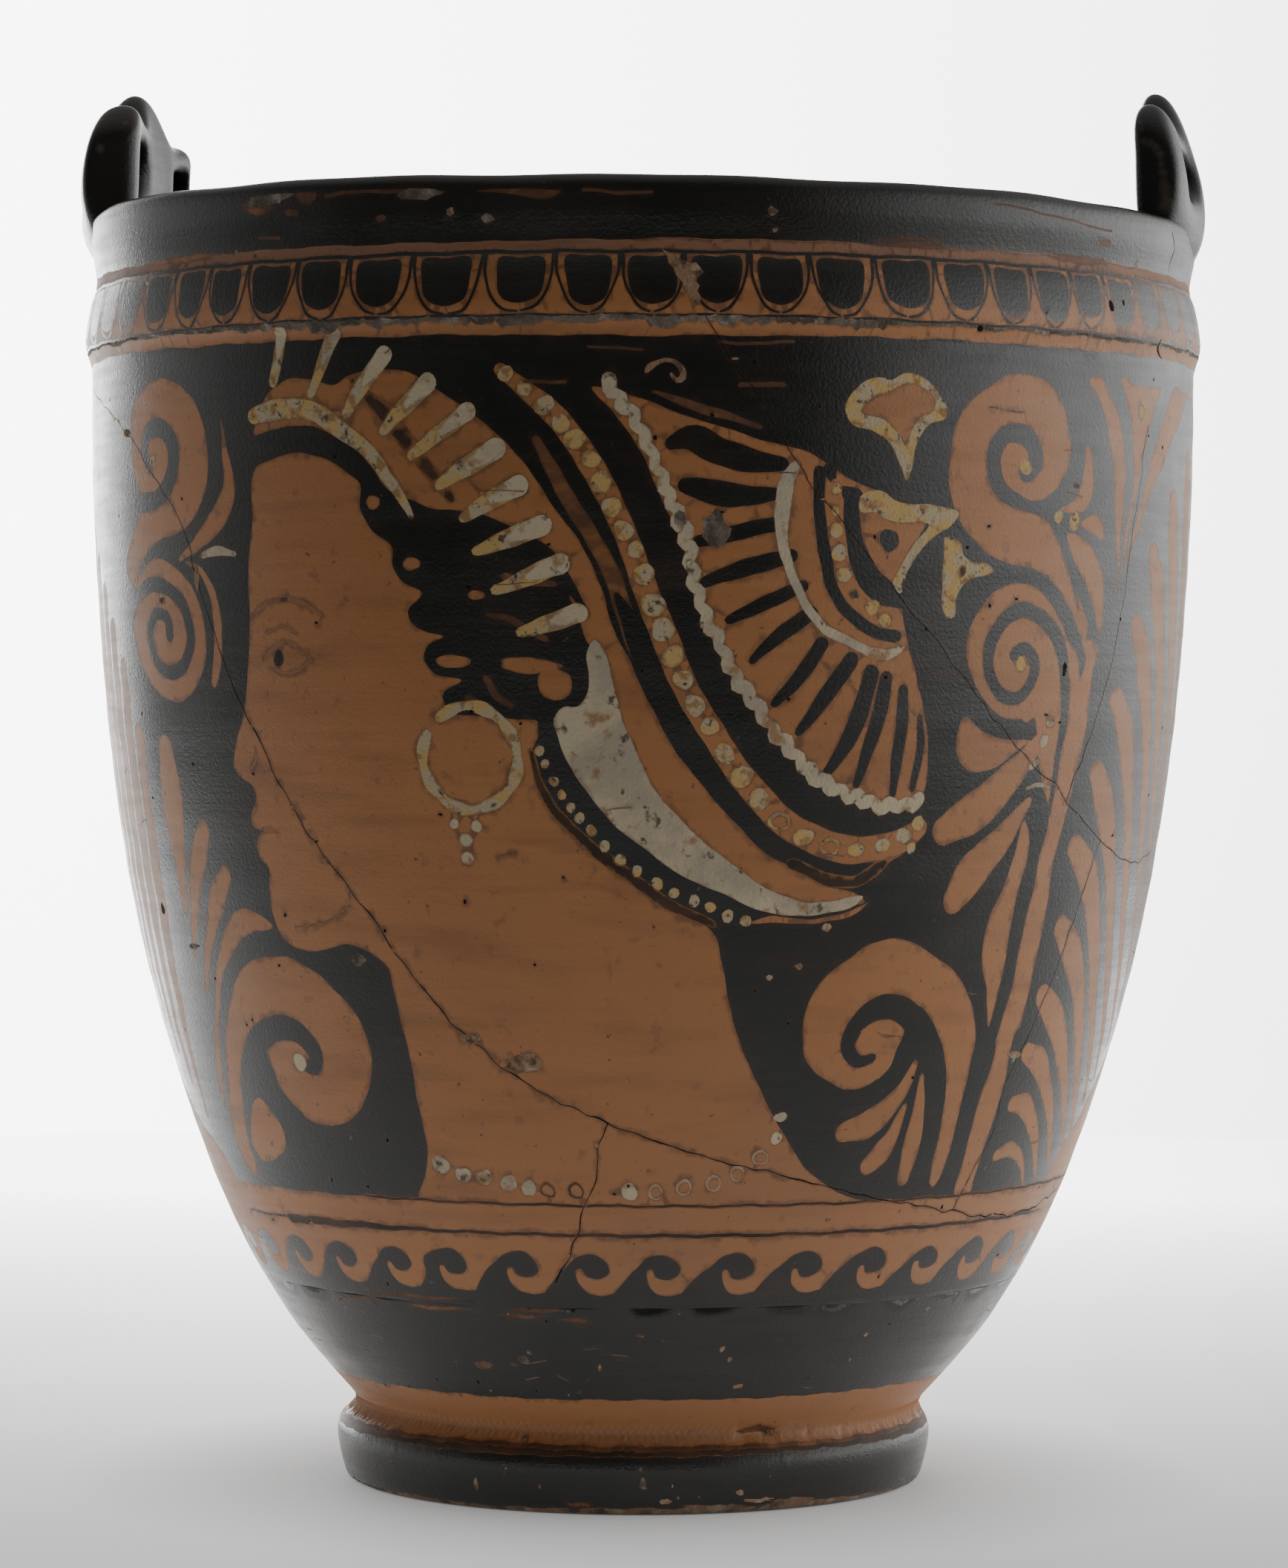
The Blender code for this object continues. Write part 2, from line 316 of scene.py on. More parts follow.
def right_scrolls(wall):
    """The two spirals, their stem and their leaves, between the head-dress and the right palmette."""
    wall.area("clay", [
        (60, 204), (60.6, 208), (62.2, 212), (65, 215.3), (69, 217.8), (73.3, 220), (77.8, 220.7), (82.2, 220.2),
        (86, 218), (89, 214.8), (90.8, 210.3), (91.3, 206), (90.3, 203), (87.8, 200), (88, 196), (89, 191),
        (94.4, 180.3), (98.9, 172), (97, 169), (92.2, 176.4), (87.8, 180.3), (83.9, 183), (80, 184.2), (75.6, 184.8),
        (70, 186.4), (66, 189.2), (62.8, 192.6), (60.8, 196.4),
    ])
    wall.line("black", [
        (95.5, 176.5), (90.5, 187.5), (85, 194.2), (78.5, 196.2), (73.2, 197.8), (70.8, 201), (70.6, 205.5),
        (73.2, 209), (77, 209.4), (80.6, 206.8), (81, 203.6), (78.8, 201.8),
    ], [0.6, 1.4, 2, 2.6, 3.4, 3.6, 3.6, 3.6, 3.8, 3.8, 3.6, 3.6])
    wall.line("clay", [
        (86, 199.4), (81, 197.4), (76.6, 199.2), (74, 202.6), (75.4, 205.2), (77.6, 205.6),
    ], [1.2, 1.2, 1.6, 2.2, 1.8, 0.8])
    wall.area("black", [
        (91.3, 206), (90.3, 202.8), (87.8, 200), (84.4, 197.6), (80.6, 196.6), (83.9, 195.2), (88.3, 193), (91.5, 190),
        (95, 195), (95, 204),
    ])
    wall.area("clay", [
        (65.6, 169.2), (66.1, 172), (68.3, 176), (71.1, 179.2), (75.6, 181), (80, 181), (83.9, 179.8), (87.8, 177),
        (91.1, 173.1), (95, 169), (99, 171), (103, 169), (101.9, 164.8), (101.4, 158.7), (100.6, 152), (98.6, 143),
        (96.4, 134.2), (95, 127), (95, 120), (94.6, 112), (94, 103), (93.4, 93), (92.6, 82), (91.6, 70), (91.2, 63.6),
        (85.6, 63.6), (85.2, 70), (85.4, 82), (86.1, 93), (87.5, 101), (88.1, 110), (88.9, 118), (90.1, 127.6),
        (91.5, 137), (88, 143.6), (86, 150), (84, 156), (80, 155.3), (76.7, 155.6), (72.2, 157.6), (68.3, 161.4),
        (66.1, 165.9),
    ])
    wall.line("black", [
        (97.8, 164.2), (98, 166.5), (96, 170.3), (92.8, 174.8), (89.4, 178.7), (85.2, 182.4),
    ], [1.2, 2, 2.2, 2, 1.8, 1.2])
    wall.line("black", [
        (91.2, 137), (92.4, 146.4), (93.2, 154), (92.6, 163), (90.6, 169.4), (87.2, 173.2), (83.2, 175.4), (78.8, 176),
        (74.6, 174.2), (71.8, 170.4), (71.2, 166), (72.8, 162), (76.4, 159.6), (80.6, 160), (83, 163), (82.8, 167),
        (80, 169), (77.6, 167.6),
    ], [1.2, 1.6, 2.2, 2.8, 3.4, 3.2, 3, 3, 3, 2.8, 2.8, 2.6, 2.6, 2.6, 2.6, 2.6, 2.6, 2.4])
    wall.line("clay", [
        (79.4, 162.6), (76.4, 163.6), (74.6, 167), (76, 170.6), (79.6, 172), (84, 171), (87, 167.4), (87.6, 162.5),
        (86, 158.4), (82, 156),
    ], [1.6, 1.8, 1.8, 1.8, 1.9, 2.2, 2.6, 2.8, 2.8, 2.6])
    wall.area("clay", [
        (96.8, 208.2), (98.2, 205.3), (99.1, 201.6), (98.4, 198.5), (96.3, 195.9), (93.5, 194.8), (88.4, 195.5),
        (92.2, 197), (94.6, 199.7), (95.6, 203.4),
    ])
    wall.area("clay", [
        (91, 190.9), (98.9, 188.7), (101.7, 186), (103.9, 182), (104.4, 176.4), (103.3, 172), (100.6, 177),
        (97.2, 182), (93.9, 185.3),
    ])
    wall.area("clay", [(95, 193.1), (98.3, 194.7), (101, 194.8), (102.8, 192), (103, 190.2), (98.9, 191.2)])
    wall.area("clay", [
        (66, 155.6), (70, 153.7), (74.4, 152), (80, 151.4), (83.9, 151.4), (80, 149.2), (75.6, 146.4), (70, 145.5),
        (66.7, 146.4), (64.9, 148.7), (64.6, 152),
    ])
    wall.petal("clay", [(63.4, 134.4), (68.6, 137), (74, 140.2), (79.4, 144.6), (84, 149), (88.3, 153.7)], 8)
    wall.petal("clay", [(67.4, 121.4), (70, 124.8), (74, 128.8), (78.6, 133), (82, 136.6), (85, 139.8)], 7.6)
    wall.area("clay", [
        (83.1, 96.4), (80, 104.2), (77.2, 109.8), (77, 115.3), (78, 118.7), (80, 122), (82, 128), (84.6, 136),
        (86.4, 133), (85, 123), (84.4, 115.3), (83.9, 104.2),
    ])
    wall.area("clay", [
        (35.3, 95.3), (35.6, 100.3), (37.2, 104.8), (40.6, 108.4), (44.4, 110.6), (47.2, 112.6), (50.6, 113.8),
        (54.4, 114), (60, 112.6), (66, 109.8), (72.2, 105.9), (76.7, 101), (79.2, 95.3), (79.9, 87.6), (79.6, 78),
        (79.4, 68), (77.4, 65.2), (74.8, 67), (74.4, 78.7), (73.9, 85.3), (71.7, 91), (68.3, 96), (62, 101),
        (57.2, 89.8), (54.4, 87), (50.6, 85.4), (46.7, 85.4), (42.2, 87), (38.3, 89.2), (36, 92),
    ])
    wall.line("black", [
        (74.6, 64.6), (73.2, 72), (72.4, 79), (70.6, 86), (67, 92.4), (62, 97.8), (57, 100.9), (51.4, 100.6), (47, 97),
        (46.2, 93.2), (49, 90.8), (52.4, 91.4),
    ], [2.6, 3.6, 4.4, 5, 5.2, 5.2, 5, 4.4, 3.8, 3.2, 2.6, 1.8])
    wall.line("clay", [(49.4, 96.2), (53, 96.6), (56, 95), (57.4, 91.6), (56, 87.6)], [1.6, 2.4, 2.6, 2.8, 3])
    wall.area("black", [
        (63.9, 96), (66.6, 88), (68.8, 80), (70.4, 70), (70.6, 64), (60, 64), (50, 68), (44, 76), (42, 84),
        (46.7, 85.4), (52, 85.6), (57, 89), (58.8, 94),
    ])
    wall.petal("clay", [(48, 77), (53.4, 78.2), (58.2, 81), (61.6, 85), (63.8, 90)], 5.6)
    wall.petal("clay", [(56, 70.4), (59, 72.8), (61.2, 76), (63.1, 81.8)], 5.4)
    wall.petal("clay", [(67, 67.8), (67.4, 72), (67.4, 77), (66.9, 82), (66.1, 87.6)], 5)
    wall.area("black", [
        (79.9, 84), (79.6, 74), (79.6, 66), (80.6, 63.6), (83.6, 63.8), (84.4, 70), (84.6, 80), (86, 94), (84, 96),
        (81.2, 95),
    ])
    wall.area("black", [
        (92.2, 72), (93, 84), (93.8, 96), (95.4, 96), (95.4, 84), (94.6, 72), (94.2, 64), (93, 62.6), (91.8, 64),
    ])


def right_palmette_half(wall):
    """The near half of the palmette under the right lug, which is hidden past its middle."""
    for tip, root, bend, width in RIGHT_PETALS:
        wall.petal("clay", [tip, *bend, root], width)
    wall.area("clay", [
        (108.3, 187.6), (107.2, 194.2), (106.1, 201), (105, 206.4), (102.8, 212.6), (100, 217), (96.9, 220.6),
        (101, 221.4), (104.4, 217.6), (107.8, 213.7), (109.4, 209.8), (110.2, 205.3), (110.4, 198.7), (109.6, 190),
        (108.9, 179),
    ])
    wall.area("clay", [
        (108.3, 221.4), (114, 220.6), (120, 220.3), (126.7, 220.4), (124.4, 217.6), (121.7, 214.2), (120, 211),
        (118.3, 207), (116, 201), (114.2, 195.9), (110.6, 184), (111.6, 192), (113.3, 198.7), (113.8, 203.1),
        (113.3, 208.1), (112.2, 213.7), (110, 218.1),
    ])
    wall.area("clay", [
        (135, 221.2), (142, 220.8), (149, 221), (143.9, 218.1), (138.9, 214.2), (133.3, 209.8), (127.8, 204.8),
        (123.3, 201), (118.9, 195.3), (115.6, 189.8), (112.8, 185.9), (110, 180.3), (113, 188), (116.7, 196.4),
        (119.4, 201), (122.2, 207), (125.6, 211.4), (128.9, 215.3),
    ])
    wall.area("clay", [(129, 62.5), (136, 71), (144, 77), (152, 84), (160, 90), (166, 92), (166, 62)])


# Tip, root, the middle of each petal in order, and its greatest width
RIGHT_PETALS = [
    ((97.6, 70.4), (115.5, 63.8), [(101.4, 71.6), (106.4, 70.6), (111.4, 67.6)], 3.2),
    ((98, 80.8), (122, 65), [(103.4, 80.2), (109.4, 76.6), (115.6, 71.2)], 4.6),
    ((98.6, 91), (128, 67.4), [(104, 89), (110, 84.6), (118, 77.4)], 5.4),
    ((99.6, 101.8), (134, 71), [(105.4, 98.4), (112, 92.6), (121, 83.8)], 6.6),
    ((101.6, 115.2), (138, 74), [(106.6, 111.2), (113.6, 104.2), (124, 90)], 7.2),
    ((102, 130.6), (142, 79), [(107, 127), (113.6, 118.4), (124, 101)], 7.2),
    ((106.6, 145.2), (146, 84), [(110, 141), (116.4, 130.6), (127, 110)], 7),
    ((111.6, 159.6), (150, 90), [(115.8, 155), (121.4, 143.4), (131, 119)], 7),
    ((118.6, 174), (153, 97), [(122.2, 169), (128, 155.6), (136, 131)], 7.2),
    ((125.4, 187.6), (156, 105), [(128.8, 181), (133.6, 167), (141, 140)], 7.8),
    ((136, 198.4), (159.4, 114), [(138.4, 190), (142, 175), (148, 150)], 8.2),
    ((149.4, 207), (162.6, 122), [(150, 198), (152.2, 182), (156, 156)], 8),
    ((162.4, 212), (164.8, 128), [(162.4, 202), (162.8, 186), (163.6, 160)], 7),
]


def left_scrolls(wall):
    """The spirals, leaves and big volute left of the head."""
    wall.area("clay", [
        (-122, 214), (-116.7, 218.7), (-111, 220.4), (-105.6, 220.3), (-100, 218.4), (-96, 215.3), (-93.3, 210.3),
        (-92.5, 204.8), (-93.3, 199.2), (-96, 194.8), (-100, 192), (-104.4, 190.6), (-110, 189.5), (-114.4, 188),
        (-119, 185.3), (-124, 181), (-127, 184), (-124, 190), (-119, 194.4), (-116, 197), (-119, 200), (-121, 204),
        (-122, 209),
    ])
    wall.line("black", [
        (-128, 196), (-121.5, 197.2), (-114.8, 197.1), (-108, 198.8), (-104.6, 202.1), (-103.9, 206.2),
        (-105.7, 209.6), (-110.2, 211.3), (-114.4, 209.8), (-115.5, 206.5), (-113.8, 203.8),
    ], [3, 3.6, 3.8, 4, 4, 4, 3.8, 3.6, 3.2, 3, 2.4])
    wall.line("clay", [
        (-120.6, 207), (-119.3, 203.5), (-116.2, 200.9), (-111.4, 200.6), (-108.2, 202.6), (-107.6, 205),
        (-108.8, 207),
    ], [3.4, 3.4, 2.8, 2.2, 2, 1.6, 0.5])
    wall.line("clay", [
        (-88.4, 212), (-87.2, 205.5), (-86.6, 198.6), (-89.8, 193.4), (-96.4, 188.8), (-103, 185.8),
    ], [0.3, 1.6, 3.6, 4.4, 3.2, 0.9])
    wall.petal("clay", [(-94.2, 161.6), (-92.2, 167.2), (-91.6, 173), (-93, 179), (-96.6, 183.4), (-101, 185)], 2.6)
    wall.area("clay", [
        (-123, 180.5), (-118, 184.5), (-111, 186), (-104, 183.8), (-98.6, 179.3), (-95.8, 173.3), (-96.4, 166.5),
        (-100.4, 160.9), (-107, 158.2), (-114, 159.4), (-120, 163.2), (-124.6, 168.7),
    ])
    wall.line("black", [
        (-127, 175.6), (-121, 179.3), (-114.6, 180.9), (-108, 180), (-102.6, 176.2), (-101, 170.5), (-103.8, 165.4),
        (-109.6, 163.8), (-115, 166.5), (-116.8, 171.4), (-113.6, 175.3), (-109, 174.2), (-108.6, 170.9),
    ], [2.6, 2.8, 3, 3, 3, 2.8, 2.8, 2.8, 2.6, 2.6, 2.4, 2.4, 2.6])
    wall.petal("clay", [(-114.4, 148.4), (-114.2, 140), (-114.6, 130), (-115.8, 118)], 9.4)
    wall.petal("clay", [(-102.8, 133.4), (-106.4, 127.8), (-110.4, 120.4), (-115.6, 109)], 6.2)
    wall.petal("clay", [(-97.2, 124.6), (-101, 120.4), (-106, 114), (-113.6, 102)], 5.6)
    wall.area("clay", [
        (-83.9, 115.3), (-88.3, 117.6), (-92.2, 118.5), (-96, 117.8), (-100, 114.8), (-104.4, 109.8), (-109, 103),
        (-113, 96), (-120, 84), (-120.6, 77.6), (-117.8, 83.7), (-113.9, 91), (-110.6, 97), (-107.2, 102),
        (-103.3, 106.4), (-98.9, 109.8), (-94.4, 112.6), (-90, 113.9),
    ])
    wall.area("clay", [
        (-120.3, 72), (-119, 76.4), (-115.6, 83), (-112.2, 88.7), (-109, 94.2), (-105.6, 98.7), (-101.7, 102.6),
        (-97.8, 105.9), (-92.2, 108.4), (-85.6, 109.5), (-81, 109.5), (-76.7, 108), (-72.2, 106.2), (-68.3, 103),
        (-64.4, 99.2), (-62.2, 94.8), (-61.7, 90.3), (-62.8, 86.4), (-65.6, 82.6), (-69.4, 79.2), (-73.3, 77.6),
        (-77.8, 76.8), (-82.2, 77), (-86, 78.4), (-90, 81.2), (-92.8, 84.2), (-93.6, 87.6), (-96, 88), (-101, 84),
        (-106, 78), (-110, 72), (-113, 66), (-118, 65.4),
    ])
    wall.line("black", [
        (-111.6, 67), (-110.4, 74), (-107.6, 80.6), (-103.4, 86.6), (-98.6, 91.2), (-92.6, 94.4), (-86.2, 95.6),
        (-80.6, 94.2), (-77.8, 91), (-79, 88.4), (-81, 88.4),
    ], [3, 3.4, 4.2, 5, 5.4, 5.4, 5, 4.6, 4.4, 3.6, 2.8])
    wall.area("black", [
        (-109, 78), (-104.4, 84), (-99.5, 89), (-94.4, 91.4), (-93.6, 87.6), (-92.8, 84.2), (-90, 81.2), (-86, 78.4),
        (-84, 72), (-90, 65), (-100, 63.8), (-110, 64.4), (-112, 70),
    ])
    wall.area("clay", [
        (-101.7, 81.3), (-98, 78.6), (-95.3, 75.3), (-96, 72), (-100, 69.8), (-105, 68.5), (-109, 68.7), (-111, 71),
        (-110.6, 73), (-107.8, 77.6), (-104.4, 80.6),
    ])


def left_palmette_half(wall):
    """The near half of the palmette under the left lug, which is hidden past its middle."""
    for index in range(8):
        lift = index / 7
        tip = (-127 - 44 * lift, 152 + 50 * lift**0.7)
        root = (-136 - 36 * lift, 76 + 44 * lift)
        middle = ((tip[0] + root[0]) / 2 + 3 - lift, (tip[1] + root[1]) / 2 + 8)
        wall.petal("clay", [tip, middle, root], 6.4 + lift)
    wall.area("clay", [(-128, 62.5), (-136, 70), (-146, 74), (-160, 84), (-172, 90), (-185.7, 92), (-185.7, 62)])


def back_motif(wall):
    """A plain upright palmette on the hidden back, each side of its middle line."""
    centre = BACK_MIDDLE
    for index in range(7):
        turn = math.radians(7 + index * 15)
        reach = 37 + 34 * math.cos(turn) ** 2
        tip = (centre + reach * math.sin(turn), 132 + reach * math.cos(turn))
        root = (centre + 6 * math.sin(turn), 124 + 6 * math.cos(turn))
        wall.petal("clay", [
            tip, ((tip[0] + root[0]) / 2 + 1.4, (tip[1] + root[1]) / 2 + 2.4), root,
        ], 8.6 - 0.3 * index)
    wall.line("clay", [
        (centre + 4, 64.8), (centre + 5, 82), (centre + 14, 99), (centre + 26, 101), (centre + 33, 92),
        (centre + 27, 84), (centre + 19, 88),
    ], [3.4, 3.6, 4.2, 4.6, 4.4, 4, 2.6])


def ornaments(wall):
    """The seen ornament and its other half past each lug, and the back's."""
    for middle, motifs in (
        (RIGHT_LUG, (right_scrolls, right_palmette_half)), (LEFT_LUG, (left_scrolls, left_palmette_half)),
        (BACK_MIDDLE, (back_motif,)),
    ):
        for draw in motifs:
            wall.mirrored(draw, middle)
    wall.petal("clay", [(LEFT_LUG, z) for z in (213, 196, 176, 152, 112)], 12.5)


# ---------------------------------------------------------------------------
# Painting: the head and its head-dress
# ---------------------------------------------------------------------------


def skin(wall):
    """Face and neck, reserved in the clay. The face is a plain classical profile of the textbooks."""
    brow, nose, chin = CROWN_Z - FACE_TALL * 0.32, CROWN_Z - FACE_TALL * 0.64, CROWN_Z - FACE_TALL
    wall.area("clay", [
        (-78.3, CROWN_Z), (-80.4, CROWN_Z - 10), (-81.8, CROWN_Z - 20), (-82.4, brow), (-83.2, brow - 8),
        (-85.8, brow - 18), (-89.4, nose + 3.4), (-89.8, nose + 0.6), (-87.2, nose - 1.6), (-84.6, nose - 2.6),
        (-84.4, nose - 5.2), (-86.4, nose - 8.2), (-86, nose - 10.2), (-83.8, nose - 11.2), (-85.4, nose - 13),
        (-85, nose - 16), (-82.6, nose - 18.4), (-83, nose - 22), (-83.4, chin + 5.4), (-81.4, chin + 1.4),
        (-77, chin - 1), (-71, chin - 1), (-64, chin + 0.4), (-58, chin - 1.4), (-54.4, 108), (-53.6, 104.2),
        (-52.8, 98.7), (-51.9, 92), (-51.7, 84.8), (-51.1, 79.2), (-50.8, 73.7), (-52.2, 69.8), (-54, 66.4),
        (-55.6, 63.6), (-55, 62.4), (-30, 62.4), (0, 62.4), (30, 62.4), (60, 62.2), (69.7, 61.6), (67.8, 61.6),
        (60, 62.9), (55, 63.8), (50, 65.1), (45, 67), (40, 70), (35.6, 74.2), (31.7, 78.7), (27.8, 84.2), (23.9, 90.3),
        (20.6, 97), (18.3, 103), (16.7, 109.8), (15, 115.3), (8.9, 118.9), (-1.1, 125.3), (-6.7, 129.2),
        (-12.2, 133.7), (-16.7, 138.1), (-19.4, 143.1), (-20.8, 147.6), (-19, 154), (-26, 155.4), (-37.8, 157.6),
        (-38.4, 159.4), (-34.2, 162.3), (-40, 163.7), (-41.7, 166.4), (-40.6, 168.7), (-37.8, 170.3), (-41.7, 171.2),
        (-44, 172.8), (-45, 175), (-42.2, 178.5), (-46.7, 181), (-48, 183.2), (-47.8, 186.4), (-52.8, 190.9),
        (-54.4, 194.2), (-54.4, 198.7), (-57.8, 201.4), (-61, 203.4), (-65.6, 204.5), (-70, 204.8), (-75, 203.9),
    ])
    eye = brow - 7.5
    wall.line("line", [
        (-80.6, brow + 1.6), (-76, brow + 3.4), (-70, brow + 3.2), (-64, brow + 0.6),
    ], [0.7, 1.1, 1, 0.5])
    wall.line("line", [(-78.6, eye), (-75, eye + 2.6), (-70.6, eye + 2.4), (-66.6, eye - 0.4)], [0.6, 0.9, 0.9, 0.6])
    wall.line("line", [(-77.6, eye - 1.8), (-74, eye - 2.8), (-70, eye - 2), (-67.6, eye - 0.6)], [0.4, 0.5, 0.5, 0.4])
    wall.dots("black", [(-75.2, eye - 0.1, 1.25, 1.7)])
    wall.line("line", [(-77.8, eye + 5), (-73.6, eye + 5.8), (-69.6, eye + 4.6)], 0.4)
    wall.line("line", [(-83.8, nose - 11.2), (-81, nose - 11), (-78.8, nose - 11.6)], [0.7, 0.9, 0.4])
    wall.line("line", [(-84.6, nose + 0.6), (-83, nose + 2.6), (-83.2, nose + 4.6)], [0.4, 0.7, 0.4])
    wall.line("line", [(-62, chin + 8), (-70, chin + 4), (-77, chin + 3.4)], [0.3, 0.45, 0.2])


def hair_and_band(wall):
    """The diadem band, the wrapped hair behind it and the curls that hang from it."""
    wall.area("clay", [
        (-79.5, 208.6), (-77, 214.4), (-73.3, 217.8), (-70, 219), (-65.6, 218.7), (-60, 217.3), (-56.5, 219),
        (-52.8, 220), (-44.4, 219.2), (-37.8, 215.6), (-31.7, 211.4), (-26.1, 207), (-22.2, 202.6), (-18.9, 198.1),
        (-15.6, 193.1), (-12.2, 188.7), (-8.9, 183), (-6.7, 177.6), (-5.3, 172), (-2.2, 166), (0.6, 160), (4, 154),
        (8, 148.4), (13, 142.4), (18, 137), (23, 132.6), (28, 129), (33, 126.4), (38.3, 124.2), (44, 122.6),
        (46, 121.4), (36, 120.6), (24, 123.6), (12, 131), (2, 141), (-4, 152), (-7, 164), (-10.6, 170), (-12, 174.5),
        (-13.4, 178), (-10, 174.6), (-14, 183), (-17, 186.8), (-23, 190), (-30, 192.8), (-34.4, 193.7), (-40, 194),
        (-44, 195.6), (-48.3, 197.6), (-52.2, 202), (-56, 205.9), (-60, 208), (-64.4, 209.5), (-70, 210),
        (-74.4, 209.6),
    ])
    wall.line("dilute", [
        (-55.6, 218), (-51, 213.7), (-47.2, 209.8), (-44, 206), (-40, 201), (-36, 196),
    ], [1.6, 2.6, 3.4, 3.2, 2.8, 2])
    wall.line("wash", [
        (-19.4, 206.4), (-16, 200.3), (-12.8, 194.2), (-8.9, 188), (-5.6, 182), (-3.3, 175.3), (0, 166), (6, 155),
        (14, 144), (22, 135.4), (30, 129),
    ], [1.6, 2.8, 3, 3, 3, 3.2, 3.4, 3.6, 3.2, 2.8, 2])
    wall.dots("clay", [
        (-51.6, 195.4, 1.5, 1.2), (-44, 183.8, 2, 1.2), (-36, 165.8, 3.2, 1.3), (-21, 165, 6.4, 1.4),
        (-31, 178, 1.6, 0.9),
    ])
    wall.area("clay", [(-19.4, 163.2), (-16, 164.4), (-13.3, 163), (-13, 160), (-15.4, 158.4), (-18.6, 159.4)])
    for points in (
        [(-17.5, 169.8), (-21, 171.4), (-25, 173.6), (-29, 174.6)], [(-16, 179.8), (-21, 180.4), (-26, 181.6)],
        [(-24.6, 157.6), (-27.6, 159.4), (-29.6, 162.6)], [(-30, 157.4), (-33, 158.8)],
    ):
        wall.line("wash", points, [1, 1.5, 1.3, 0.7][:len(points)])
    wall.line("yellow", [
        (-79.5, 212), (-75, 213), (-70, 213.4), (-64.4, 212.3), (-60, 209.8), (-55.6, 207), (-52.2, 204.2),
        (-49, 200.3), (-46, 196.4), (-43.8, 192.4),
    ], [3, 3.8, 3.8, 3.6, 3.3, 3, 2.7, 2.3, 1.8, 1])
    for foot, head, width in SPIKES:
        middle = ((head[0] + foot[0]) / 2, (head[1] + foot[1]) / 2)
        wall.line("yellow", [head, middle, foot], [width * 0.9, width * 0.82, 1.9])
        third = ((head[0] * 2 + middle[0]) / 3, (head[1] * 2 + middle[1]) / 3)
        wall.line("white", [head, third, middle], [width * 0.94, width * 0.84, width * 0.3])


# Narrow foot, round head and greatest width of each ray on the band
SPIKES = [
    ((-74.3, 218.1), (-72.2, 227.4), 3), ((-65.3, 215.9), (-60, 226.8), 3.2), ((-57.5, 212), (-49.4, 222.8), 3.6),
    ((-49.4, 208.4), (-40.4, 217.4), 3.8), ((-43.6, 203.9), (-32.6, 211.8), 3.8),
    ((-38.3, 198.1), (-27.2, 205.1), 4.2), ((-33.6, 192.3), (-23, 198), 4.2), ((-31.1, 185.9), (-18.6, 190.8), 4.2),
    ((-27.5, 178.9), (-15, 183.6), 4.2), ((-22.5, 170.9), (-11.8, 174.8), 4),
]


